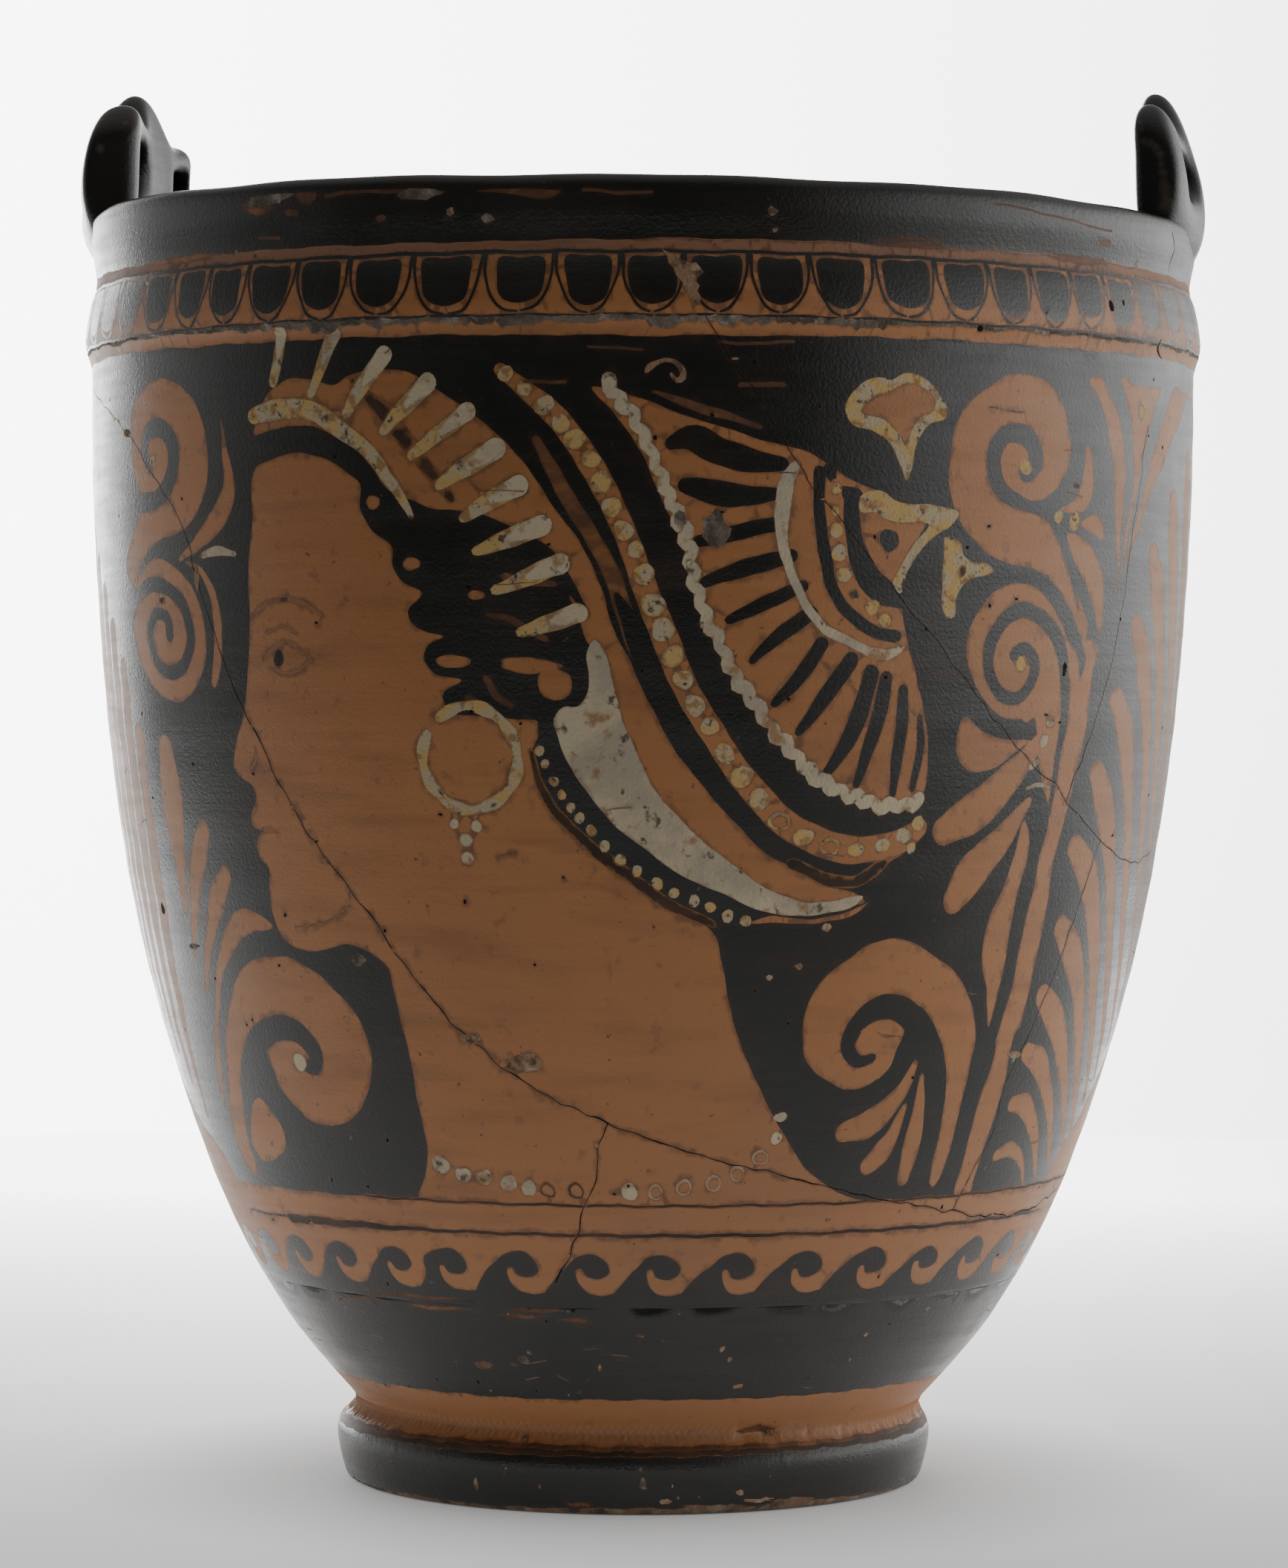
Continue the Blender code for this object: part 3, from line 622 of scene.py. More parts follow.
def veil(wall):
    """The fan-shaped end of the head-dress, with its strokes, arcs and white edging."""
    wall.area("clay", [
        (-9.2, 216), (-2.2, 214.8), (3.3, 212.6), (8.3, 210.9), (18.9, 207.6), (25.6, 205.9), (30, 204.8), (34, 203),
        (41.4, 198.6), (45, 197.4), (47.8, 189), (50, 178), (52, 170), (55, 162), (57, 155), (58, 147), (57.5, 141),
        (52, 140), (44, 141), (39, 141), (35.6, 143.7), (31, 147), (27, 151), (22, 157), (17.4, 162), (14, 168),
        (11, 174), (8.9, 181), (7.6, 187), (5, 192.4), (2.4, 198), (0.4, 203), (-2.4, 207.6), (-6, 212.6),
    ])
    wall.line("wash", [(2, 215.2), (10, 212.6), (22, 209)], [0.6, 1.8, 0.8])
    for points, widths in VEIL_STROKES:
        wall.line("black", points, widths)
    wall.area("black", [
        (36, 204), (37, 199), (41, 197.8), (44, 193.8), (48, 192.4), (53, 191.6), (56, 188.4), (52.6, 184), (50, 178),
        (45.6, 176.8), (42, 179), (40, 184), (38.6, 190), (38, 196), (34, 202),
    ])
    wall.line("clay", [
        (36.6, 198.8), (36.2, 194), (36.8, 187), (39, 181), (43, 177), (49, 173.6),
    ], [2.4, 3, 3.6, 3.6, 3.4, 3])
    wall.line("black", [
        (33.3, 201), (33.1, 195.3), (33.6, 189.8), (34.7, 184.8), (36.4, 179.4), (38.6, 176.2), (41.7, 173.4),
        (45, 171.5), (49.6, 170.9),
    ], 2.3)
    wall.line("black", [
        (39.2, 196.4), (39.2, 193), (39.7, 188), (40.8, 183.7), (42.8, 180.3), (45.6, 177.8), (50, 177),
    ], 2.2)
    wall.area("clay", [
        (41.8, 195.8), (45, 196.6), (50, 193.6), (55, 192.6), (52.6, 187.6), (50, 183), (48.8, 180.6), (45.6, 182.4),
        (43, 186.6), (41.6, 191),
    ])
    wall.line("white", [
        (28.6, 202), (26.7, 198.7), (26.1, 194.8), (26.1, 189.8), (27.2, 184.8), (28.9, 180.3), (31.1, 176), (35, 172),
        (39.4, 169.8), (43.3, 168.1), (47.8, 167.4), (51, 168.7),
    ], [1.8, 3.2, 3, 2.3, 2, 1.9, 1.9, 1.9, 1.8, 1.9, 2.1, 1.2])
    wall.dots("yellow", [
        (36.7, 197.9, 1.1), (36.4, 193.8, 0.9), (36.6, 190.2, 1.4), (37.2, 186, 1.6), (38.4, 182.1, 1.4),
        (40.7, 178.5, 0.8), (44.4, 176, 1.5), (47.1, 173.7, 1.3),
    ])
    wall.area("yellow", [
        (41.4, 196.4), (45, 197.8), (48.6, 196), (56.7, 195.2), (62.7, 193.8), (61, 191.8), (56.7, 189.2),
        (53.3, 185.3), (51.4, 182), (50, 178.7), (48.4, 180.2), (50, 183.4), (52.8, 188), (55.6, 191.6), (51, 191.9),
        (47.8, 192.3), (44, 193.7), (41.6, 193.6),
    ])
    wall.dots("black", [(47.6, 188.6, 2.1)])
    edge = curve(WHITE_EDGE, step=2.2)
    lean = np.gradient(edge, axis=0)
    lean /= np.linalg.norm(lean, axis=1)[:, None]
    dice = random.Random(8)
    teeth = [
        (s - (-1) ** index * dice.uniform(0.3, 0.9) * dz, z + (-1) ** index * dice.uniform(0.3, 0.9) * ds)
        for index, ((s, z), (ds, dz)) in enumerate(zip(edge, lean))
    ]
    wall.line("white", teeth, [dice.uniform(1.9, 2.9) for _ in teeth])


VEIL_STROKES = [
    ([(5.6, 206), (8.4, 207), (14, 204.4), (21, 202.8), (26, 202.2)], [2.6, 4.6, 5, 4.2, 2.6]),
    ([(8, 198), (13, 197), (19, 196.4), (25.6, 196.6)], [3, 4.6, 4, 2]),
    ([(10.4, 188), (17, 189.4), (25, 191.2)], [2.2, 3, 2.6]),
    ([(11.9, 180.4), (20, 183.3), (28, 185.5)], [2.2, 3.2, 2.6]),
    ([(16.4, 173.5), (23, 176.7), (30.4, 179.8)], [1.6, 2.8, 2.2]),
    ([(20.8, 166), (26.6, 171), (32, 175)], [1.6, 2.8, 2.6]),
    ([(25.2, 158.3), (30.6, 163.6), (34.2, 169.4)], [1.6, 2.8, 2.6]),
    ([(30.2, 152.8), (36, 160), (40.2, 166.2)], [1.8, 3.2, 3]),
    ([(36.3, 145.5), (41.2, 152.8), (44.6, 164)], [1.8, 3.4, 3.2]),
    ([(42.4, 143), (46, 153.4), (47.8, 163)], [1.6, 3, 2.8]),
    ([(50.6, 141.4), (51.4, 151), (51.7, 160.6)], [1.6, 2.6, 2.4]),
    ([(55, 142), (56, 149), (55.6, 156)], [1.2, 1.8, 1.2]),
]

WHITE_EDGE = [
    (-6.3, 217), (-3, 213), (0.2, 207.4), (2.8, 201.8), (4.8, 196.3), (6.9, 191.5), (8.6, 186.3), (10, 180.3),
    (11.8, 174.4), (14.6, 168.8), (17.4, 163.4), (21, 158.7), (24.9, 153.9), (29, 149.2), (34.2, 144.6), (39.6, 141.6),
    (46, 139.8), (52, 139), (57, 139.6),
]


def trailing_bands(wall):
    """The two bands of dots that sweep back from the crown, and the broad white crescent under them."""
    wall.line("black", [
        (-4.6, 178), (-1, 171), (1.8, 163), (5, 157), (9, 150.6), (14.4, 144), (20, 138), (26, 132), (31, 128.6),
    ], [1, 4, 5.2, 5.2, 5.4, 5.2, 4.8, 4, 2])
    wall.line("dilute", [
        (30, 128.4), (38.3, 125.4), (44, 125), (48, 127), (51, 129.6), (53.3, 130.6),
    ], [2, 2.4, 2.4, 2.4, 2.2, 1.6])
    wall.line("clay", [
        (-26.4, 219.4), (-21.8, 216), (-18, 212.8), (-12.4, 206.6), (-7.4, 198.6), (-3.2, 190), (0.6, 179),
        (3.8, 171.7), (7.7, 162.4), (12.8, 153.8), (19.3, 144.7), (27.1, 136.9), (37.8, 131.7), (46, 131),
        (53.6, 132.6), (57.4, 135),
    ], [2.4, 3.2, 3.8, 4.2, 4.4, 4.4, 4.6, 4.8, 5, 5, 5, 5.2, 5.4, 5.2, 4.6, 3.4])
    wall.dots("yellow", [
        (-25.3, 218.6, 1.5), (-21.8, 216.1, 1.5), (-18.1, 212.8, 1.9), (-15, 209.3, 1.7), (-12.4, 206.6, 1.9),
        (-9.4, 203, 1.7), (-7.4, 198.6, 2), (-5.4, 194.1, 1.9), (-3.2, 189.9, 1.9), (-1.1, 186.2, 1.6),
        (0.3, 181.7, 2), (2, 176.3, 2.2), (4, 171.7, 2.2), (6, 166.6, 2.1), (8, 162.4, 1.9), (10.2, 157.8, 2),
        (13, 153.8, 1.8), (15.9, 148.8, 1.9), (19.3, 144.7, 2.2), (22.8, 140.3, 2),
    ])
    for s, z in ((27.1, 136.3), (37.8, 131.5)):
        wall.dots("yellow", [(s, z, 2.1, 1.8)])
        wall.dots("clay", [(s + 0.1, z - 0.1, 1.5, 1.2)])
    wall.dots("yellow", [
        (32.1, 133.3, 2.1, 1.7), (43.6, 131, 1.8, 1.3), (49.4, 131.6, 1.7, 1.3), (53.6, 133.4, 1.7, 1.4),
        (55.7, 131.2, 1.1), (56.8, 135.8, 1.4),
    ])
    wall.area("white", [
        (-8.9, 169.6), (-6.7, 167), (-5.6, 162.6), (-4.4, 158.7), (-3.3, 154.8), (-1, 149.8), (1.2, 144.8), (4, 140.3),
        (8.3, 136), (12.8, 132), (18.3, 128.1), (24.4, 124.2), (29, 122.2), (33.3, 121.2), (39, 121.4), (45.6, 121.8),
        (44, 120.2), (39.4, 119.2), (34.4, 118.7), (25.6, 119.1), (18.3, 122), (10, 125.3), (1, 131), (-4, 134.8),
        (-8.3, 139.2), (-11.7, 143.7), (-14.4, 148.1), (-16, 152), (-16.6, 155), (-14.6, 157.2), (-12, 157.4),
        (-9.9, 160), (-9.7, 163.1), (-10.4, 167),
    ])
    wall.area("clay", [
        (22, 117.4), (30, 117.2), (38, 117.4), (45, 119), (47, 121), (44, 119.6), (34, 118), (26, 118.4),
    ])
    wall.line("black", [
        (-19, 158), (-18, 152), (-15.4, 146.4), (-12, 140.8), (-7, 135), (0, 129), (8, 124.2), (16, 121.2),
        (23, 118.4),
    ], [1.4, 2.8, 3.2, 3.2, 3.2, 3.2, 3, 2.8, 1.4])
    wall.line("dilute", [
        (-20.8, 149), (-19.2, 142.6), (-16.2, 137.6), (-11.6, 133), (-6, 128.7), (-0.6, 124.9), (6, 120.6), (15, 117),
    ], [1, 1.8, 2, 2.2, 2.4, 2.4, 2.2, 1.4])
    wall.dots("yellow", [
        (-19.3, 149.1, 1), (-18.2, 146.8, 0.9), (-16.6, 143.7, 1), (-15.1, 141.2, 1), (-13.5, 138.7, 1),
        (-11.8, 136.7, 1.1), (-9.6, 134.4, 1.1), (-7, 131.7, 1.1), (-3.9, 129.1, 1.2), (-0.7, 126.9, 1.1),
        (3.4, 124.7, 1.2), (6.8, 123, 1.1), (10.9, 121.3, 1.2), (14.1, 120.2, 1.1), (17.7, 118.7, 1.2),
        (21.3, 117.7, 1.2),
    ])


def jewels(wall):
    """The leaf, the small leaf, the earring, the necklace and the loose dots in added white and yellow."""
    wall.area("yellow", [
        (39.4, 210), (37.9, 212.6), (39.2, 215.3), (41.7, 217.8), (45, 218.9), (47.2, 218.4), (50, 219.8),
        (53.3, 219.2), (56, 217.6), (57.8, 215.6), (59.3, 213.7), (58.9, 211.7), (55.6, 210.6), (53.9, 208.7),
        (52.5, 205.9), (51.9, 202), (50.8, 199.8), (49.2, 203), (47.2, 206.4), (44, 208.7),
    ])
    wall.area("clay", [
        (41.4, 212.6), (42.8, 214.5), (46.7, 216.4), (51, 217.8), (54.4, 216.7), (56.7, 214.8), (56.2, 213),
        (53.3, 211.4), (51.7, 209.2), (50.6, 206.2), (49, 208.1), (46, 210.9),
    ])
    wall.area("yellow", [
        (59.4, 189.4), (63.3, 188.4), (63.8, 186.2), (66, 184.8), (70, 184.5), (71.4, 183.4), (70, 182.6), (66, 181.7),
        (63.9, 180.1), (62.7, 177.6), (62.5, 174.5), (61, 174.1), (60, 175.3), (59.4, 180.3), (59.2, 185.9),
    ])
    wall.dots("dilute", [(63.6, 183, 0.8, 1.3)])
    wall.dots("yellow", [
        (88.3, 193.9, 1.3), (93.1, 193.3, 1.6), (78.6, 203, 1.5), (79.6, 166, 1.4), (116.7, 215.3, 1.4),
        (-112.1, 204.9, 1.2),
    ])
    wall.dots("white", [(-83.2, 89.1, 2.2, 1.6), (89.3, 155.1, 1.1), (87.9, 151.4, 1.3)])
    wall.line("white", [(83.9, 142.4), (87, 142.9), (90.6, 142.4)], [0.6, 0.9, 0.5])
    wall.line("white", [(84.6, 146.4), (86.4, 147.6)], [1.4, 1])
    wall.line("white", [(-95.5, 186), (-91, 187), (-85.3, 186.4)], [1.2, 1.9, 1])
    turns = [math.radians(angle) for angle in range(128, -219, -12)]
    ring = [(-33.2 + 9.6 * math.cos(turn), 147.8 + 9.6 * math.sin(turn)) for turn in turns]
    wall.line("yellow", ring, [2.2 + 0.5 * math.sin(1.7 * index) for index in range(len(ring))])
    wall.dots("white", [(-37.1, 135.7, 1), (-32.3, 135.1, 1.2), (-34.8, 132.6, 1.35), (-34.6, 129, 1.35)])
    wall.dots("white", [
        (-48.2, 70.4, 2.3, 1.8), (-42.5, 68.7, 2, 1.6), (-37.2, 68.1, 2, 1.6), (-31.4, 67.2, 2, 1.6),
        (-26.7, 66.4, 1.9, 1.5), (-2.5, 65.9, 2.1, 1.6),
    ])
    for s, z in ((-22.1, 66), (-15, 66.2), (3.9, 66), (10.6, 66.7), (17.4, 67.6), (23.2, 69.5), (28.3, 72.4)):
        wall.dots("wash" if s < 0 else "white", [(s, z, 1.9, 1.5)])
        wall.dots("clay", [(s + 0.15, z - 0.1, 1.5, 1.1)])
    wall.dots("white", [(31.5, 76.1, 1.3), (32.1, 80.3, 1.7, 1)])


# ---------------------------------------------------------------------------
# Painting: cracks, chips and dirt
# ---------------------------------------------------------------------------


def crack(wall, points, width, seed):
    """A break line that jitters as it runs, now wider, now closed."""
    dice = random.Random(seed)
    line = [(s + dice.uniform(-0.35, 0.35), z + dice.uniform(-0.35, 0.35)) for s, z in curve(points, step=3.2)]
    wall.line("crack", line, [width * dice.uniform(0.2, 0.75) for _ in line])
    for s, z in line[2:-2]:
        if dice.random() < 0.13:
            place = s + dice.uniform(-0.5, 0.5), z + dice.uniform(-0.5, 0.5)
            wall.outline("chip", flake(*place, dice.uniform(0.25, 0.7), dice.uniform(0.2, 0.5), dice.random()))


def crust(wall):
    """The ragged line of grey-brown crust under the egg band."""
    dice = random.Random(21)
    lows, highs = [], []
    s = SEAM - GIRTH
    while s < SEAM - 1.4:
        thick = 1.0 if -84 < s < 48 else 0.3
        lump = 0.9 if math.sin(s / 5.3) + math.sin(s / 2.1) > 0.9 else 0
        lows.append((s, 228.7 - thick * (dice.uniform(0, 0.9) + lump)))
        highs.append((s, 229.0 + thick * dice.uniform(-0.1, 0.6)))
        s += dice.uniform(0.6, 1.5)
    lows.append((SEAM, lows[0][1]))
    highs.append((SEAM, highs[0][1]))
    wall.outline("lime", lows + highs[::-1])


def breaks(wall):
    """The lost chip of the egg band, rubbed places, break lines, chips, pits and scratches."""
    crust(wall)
    wall.outline("chip", [
        (3.5, 241.5), (4.9, 240.7), (5.8, 240.4), (6.6, 239.7), (8, 239.6), (8.8, 239), (9.8, 239.3), (10.6, 238.2),
        (11.3, 237.3), (10.2, 236.7), (9.7, 235.6), (10.4, 234.9), (9.9, 233.8), (10.4, 232.6), (10.2, 231.6),
        (9.1, 231.1), (8.6, 232.5), (7.7, 233.6), (7.2, 235.2), (6, 236.7), (5.6, 238), (4.6, 238.9), (4.4, 240.2),
    ])
    wall.line("chip", [
        (0.5, 219.1), (1.2, 220), (2.5, 220.6), (4.1, 221), (5.9, 220.8), (7.1, 219.7), (7.4, 218), (6.2, 217.2),
        (5.2, 218.4),
    ], [0.8, 1.3, 0.9, 0.8, 0.9, 1.2, 1.3, 1, 0.6])
    for points in RUBBED_RIM:
        wall.area("wash", points)
    for points, width in RUBBED_STREAKS:
        wall.line("wash", points, width)
    wall.line("crack", [
        (133.4, 252.4), (134.8, 250.4), (135.4, 248.6), (134.4, 247), (133.8, 245.2), (134.2, 243.8),
    ], [0.3, 0.4, 0.3, 0.5, 0.3, 0.2])
    wall.line("crack", [(123.2, 229.8), (122.6, 228.4), (124, 227.2), (126.7, 226.3)], [0.3, 0.6, 0.4, 0.25])
    wall.dots("crack", [(66.2, 228.6, 0.8, 0.6), (102.6, 235, 0.9, 1.2), (107.4, 236, 0.4, 0.7)])
    for seed, (width, points) in enumerate(CRACKS):
        crack(wall, points, width, seed)
    for index, (finish, s, z, wide, tall) in enumerate(CHIPS):
        wall.outline(finish, flake(s, z, wide, tall, 50 + index))
    dice = random.Random(77)
    for _ in range(170):
        s, z = dice.uniform(SEAM - GIRTH + 8, SEAM - 8), dice.uniform(18, 222)
        wall.outline("crack", flake(s, z, dice.uniform(0.3, 0.55), dice.uniform(0.25, 0.5), dice.random()))
    for _ in range(80):
        s = dice.uniform(SEAM - GIRTH + 8, SEAM - 8)
        z = dice.choice((dice.uniform(24, 43), dice.uniform(2, 12), dice.uniform(65, 222)))
        wall.outline("chip", flake(s, z, dice.uniform(0.25, 0.7), dice.uniform(0.2, 0.45), dice.random()))
    for _ in range(60):
        s, z = dice.uniform(SEAM - GIRTH + 16, SEAM - 16), dice.choice((dice.uniform(25, 42), dice.uniform(70, 220)))
        long, lean = dice.uniform(2, 9), dice.uniform(-1.2, 1.2)
        wall.line("worn", [
            (s, z), (s + long * 0.5, z + lean * 0.6), (s + long, z + lean),
        ], [0.1, dice.uniform(0.16, 0.26), 0.1])


CRACKS = [
    (0.42, [
        (-160, 222.3), (-140, 217), (-122.2, 209.5), (-110, 200.3), (-102.2, 192.6), (-97.2, 181), (-90.3, 165.3),
        (-81.9, 150.3), (-69, 131), (-59.2, 120.6), (-46.7, 104.2), (-34.4, 92.8), (-20, 84.2), (-1, 77.3), (19, 72),
        (42.2, 67.3), (64.4, 63.1), (86.7, 59.9), (117.8, 57.7), (135.6, 59), (155, 61.2),
    ]),
    (0.5, [(-6.7, 79.2), (-9.7, 74.8), (-9.7, 71), (-11.7, 66), (-14, 61), (-18, 53), (-21.9, 48)]),
    (0.38, [
        (86.7, 59.9), (89.2, 67), (93.3, 74.8), (92.8, 83), (95.8, 90.6), (99.4, 98.7), (104, 111), (107.8, 122),
        (111.7, 132),
    ]),
    (0.3, [
        (11.4, 229), (16.7, 221), (21.7, 213.7), (31.7, 198.7), (43.9, 184.8), (60, 168), (80, 150.3), (96.8, 140),
        (111.7, 132), (130, 127.3), (147.2, 129.2),
    ]),
    (0.32, [(120, 213), (116.7, 201), (113.6, 187.6), (110.3, 172), (101.7, 150.3), (96.8, 140)]),
    (0.34, [(-212, 200), (-232, 188), (-250, 170), (-262, 148), (-281, 130)]),
]

# Slip rubbed down to a brown wash on the black rim
RUBBED_RIM = [
    [(-82.5, 251.2), (-78.3, 251.3), (-74.3, 251.1), (-74.8, 250.1), (-79.3, 249.6), (-81.2, 250.2)],
    [(-68.5, 252.4), (-63.9, 252.2), (-64.3, 251.4), (-67.5, 251)],
    [(-30.6, 252.3), (-22, 252.4), (-15.3, 251.7), (-17, 250.9), (-25, 251.6)],
    [(99.4, 247.7), (101.2, 247.9), (104.2, 247.6), (103.8, 247), (100.6, 246.9)],
]
RUBBED_STREAKS = [
    ([(-62, 251.9), (-52, 252.3), (-44, 252.1)], 0.7), ([(-11, 252.1), (-4, 251.5), (1.6, 252)], 0.6),
    ([(-78.6, 245.4), (-73.4, 245.2)], 0.5), ([(44.8, 244.5), (50, 244.7), (58.3, 244.6)], 0.5),
    ([(70, 252.4), (86, 251.2), (104, 249.8)], 0.5), ([(-50.4, 247.7), (-49.2, 247.9)], 1),
    ([(-70.6, 249.4), (-68.4, 249.2)], 1), ([(14, 224.6), (22, 224.4), (28, 224.8)], 0.6),
    ([(-10, 223.4), (0, 223.2)], 0.5), ([(18, 216.6), (26, 216.9)], 0.9), ([(-22, 217.4), (-14, 217)], 0.7),
]

CHIPS = [
    ("lime", -75.6, 252, 6.4, 1.5), ("lime", -41.6, 251.6, 4.6, 1.1), ("lime", -29, 247.4, 1.6, 1),
    ("chip", 24, 248.6, 1.1, 1.1), ("chip", 24.6, 245.4, 0.6, 0.5), ("chip", -36, 248.6, 1, 0.9),
    ("chip", -25.5, 90.6, 5.6, 2.4), ("chip", -37, 95, 2.8, 0.9), ("lime", -61.5, 109.4, 1.9, 1.4),
    ("chip", 94.2, 90.5, 2.4, 0.8), ("crack", -129, 117.5, 1.3, 1.3), ("lime", -115, 110.5, 3, 0.7),
    ("chip", 66.2, 171.8, 0.9, 0.9), ("crack", 92.4, 165, 0.9, 1.4), ("chip", -111, 178, 1.6, 0.7),
    ("lime", 13.5, 190.4, 3.2, 3.4), ("lime", 6.9, 192, 1.4, 1.6), ("chip", 38.6, 116.4, 1.5, 1),
    ("chip", 33, 109, 1, 0.8), ("chip", 27, 107, 0.8, 0.8), ("lime", 93, 200, 1.2, 0.9),
    ("lime", 40.7, 178.4, 1.2, 0.9), ("chip", -124.6, 211, 2.4, 1), ("chip", -97.6, 181.6, 0.9, 2.6),
    ("wash", -29, 41.9, 8.6, 0.5), ("wash", -66, 43.4, 22, 0.35), ("wash", -88, 42, 12, 0.3),
    ("worn", -50.5, 30, 4, 0.9), ("chip", 0.6, 37.2, 1.4, 0.4), ("chip", -12, 30, 0.7, 0.9),
    ("chip", 25, 34, 0.9, 0.7), ("chip", 28, 32, 0.8, 0.6), ("chip", 72, 35.6, 1, 0.5), ("chip", 33, 26, 2.4, 0.5),
    ("lime", -48, 8.6, 1.6, 1.2), ("chip", -60, 5, 1, 1.4), ("chip", 12, 3, 2.6, 0.6), ("chip", 40, 4.2, 1.8, 0.7),
    ("worn", 30, 1.4, 14, 0.8), ("worn", 62, 1.6, 11, 1), ("chip", 48, 2.6, 6, 0.5), ("lime", -102, 7.6, 1.4, 1.6),
    ("wash", -20, 2.2, 6, 0.5), ("lime", 4, 6.4, 1.6, 1.4), ("lime", 3, 9.4, 0.7, 0.6), ("chip", -34, 5.6, 0.8, 0.5),
    ("wash", 46, 16.2, 8, 0.8), ("dilute", 52, 15.6, 3.2, 0.5), ("chip", -42, 14.6, 1.1, 0.6),
    ("wash", -34, 40.6, 9.5, 0.45), ("wash", -18, 40, 5, 0.5), ("wash", -58, 41.4, 12, 0.4),
    ("lime", -36, 31.4, 1.8, 1.2), ("lime", -39.4, 30.2, 1.6, 0.5), ("lime", -33.6, 33.2, 0.9, 0.6),
    ("wash", -100, 243.2, 9, 0.8), ("wash", 96, 243.4, 12, 0.9), ("wash", 52, 243.6, 8, 0.6),
]


def paint_wall():
    """The whole painting, from the ground up."""
    wall = Wall()
    bands(wall)
    ornaments(wall)
    skin(wall)
    hair_and_band(wall)
    veil(wall)
    trailing_bands(wall)
    jewels(wall)
    wall.line("dilute", [(-72, 63.4), (-40, 63.2), (0, 63.1), (40, 63.1), (90, 63.2), (130, 63.4), (160, 63.3)], 0.6)
    breaks(wall)
    wall.shapes = [(finish, onto_wall(outline)) for finish, outline in wall.shapes]
    for finish, outline in wall.shapes:
        start, end = outline[:, 0].min(), outline[:, 0].max()
        if start < SEAM - GIRTH - 0.001 or end > SEAM + 0.001:
            raise ValueError(f"a {finish} shape crosses the seam at {start:.1f} to {end:.1f}")
    return wall


def onto_wall(outline):
    """The outline with the brush's slight waver, moved one turn on where it lies past the seam."""
    s, z = outline[:, 0], outline[:, 1]
    turn = s / GIRTH_RADIUS
    fade = np.minimum(1, np.minimum(np.abs(s - SEAM), np.abs(s - SEAM + GIRTH)) / 6)
    sway = 0.16 * np.sin(31 * turn + z / 3.1) + 0.07 * np.sin(97 * turn - z / 1.3)
    rise = 0.13 * np.sin(43 * turn - z / 4.3) + 0.06 * np.sin(113 * turn + z / 1.7)
    moved = np.column_stack([s + fade * sway, np.clip(z + fade * rise, 0.3, 252.6)])
    if s.mean() > SEAM:
        moved[:, 0] -= GIRTH
    elif s.mean() < SEAM - GIRTH:
        moved[:, 0] += GIRTH
    return moved




# ---------------------------------------------------------------------------
# Forms
# ---------------------------------------------------------------------------


def curve_through(stations, count):
    """Points of a smooth curve through the stations, each a (radius, height) pair, ends included."""
    points = []
    last = len(stations) - 1
    for step in range(count + 1):
        place = step / count * last
        index = min(int(place), last - 1)
        share = place - index
        before, start = stations[max(index - 1, 0)], stations[index]
        end, after = stations[index + 1], stations[min(index + 2, last)]
        point = []
        for axis in (0, 1):
            slope_in = (end[axis] - before[axis]) / 2
            slope_out = (after[axis] - start[axis]) / 2
            bend = 3 * (end[axis] - start[axis]) - 2 * slope_in - slope_out
            twist = slope_in + slope_out - 2 * (end[axis] - start[axis])
            point.append(start[axis] + share * (slope_in + share * (bend + share * twist)))
        points.append(tuple(point))
    return points


def lip_arc(centre_radius, start, end, count):
    """Points of one rounded edge of the lip, with angles in degrees from outward."""
    points = []
    for step in range(count + 1):
        angle = math.radians(start + (end - start) * step / count)
        radius = centre_radius + LIP_ROUNDING * math.cos(angle)
        points.append((radius, RIM_HEIGHT - LIP_ROUNDING + LIP_ROUNDING * math.sin(angle)))
    return points


def painted_profile():
    """The outer wall from the lip's outer edge down to the resting ring, which carries the painting."""
    lip = lip_arc(LIP_RADIUS - LIP_ROUNDING, 15, 0, 3)
    rim, foot = curve_through(RIM_STATIONS, 40), curve_through(FOOT_STATIONS, 24)
    return lip + rim[1:] + curve_through(BODY_STATIONS, 84) + foot[1:]


def inner_profile():
    """The lip's top and the inside of the bowl, down to the floor's middle."""
    body = curve_through(BODY_STATIONS, 21)
    wall = []
    for index in range(1, len(body) - 1):
        above, below = Vector(body[index - 1]), Vector(body[index + 1])
        along = (above - below).normalized()
        radius = body[index][0] - WALL_THICKNESS * along.y
        height = body[index][1] + WALL_THICKNESS * along.x
        if height > FLOOR_TOP + WALL_THICKNESS:
            wall.append((radius, height))
    inside = LIP_RADIUS - LIP_THICKNESS
    over = lip_arc(LIP_RADIUS - LIP_ROUNDING, 15, 90, 5) + lip_arc(inside + LIP_ROUNDING, 90, 180, 6)
    top, low = wall[0], wall[-1]
    neck = [(inside, RIM_HEIGHT - LIP_ROUNDING), (inside, 0.2431), (top[0], 0.2330), top]
    floor = [
        low, (low[0] - 0.0090, FLOOR_TOP + 0.0026), (FLOOR_FLAT_RADIUS, FLOOR_TOP + FLOOR_DISH), (0.012, FLOOR_TOP),
    ]
    return over + curve_through(neck, 6)[1:-1] + wall + curve_through(floor, 8)[1:] + [(0.0, FLOOR_TOP)]


def under_profile():
    """The resting ring and the recess under the foot, in to the axis."""
    return [(FOOT_EDGE, 0.0)] + RECESS_STATIONS + [(0.0, RECESS_CENTRE)]


def deselect():
    if bpy.context.object and bpy.context.object.mode != "OBJECT":
        bpy.ops.object.mode_set(mode="OBJECT")
    bpy.ops.object.select_all(action="DESELECT")


def edit(piece):
    """Opens a piece for editing with all of it selected."""
    deselect()
    piece.select_set(True)
    bpy.context.view_layer.objects.active = piece
    bpy.ops.object.mode_set(mode="EDIT")
    bpy.ops.mesh.select_all(action="SELECT")


def leave():
    bpy.ops.object.mode_set(mode="OBJECT")


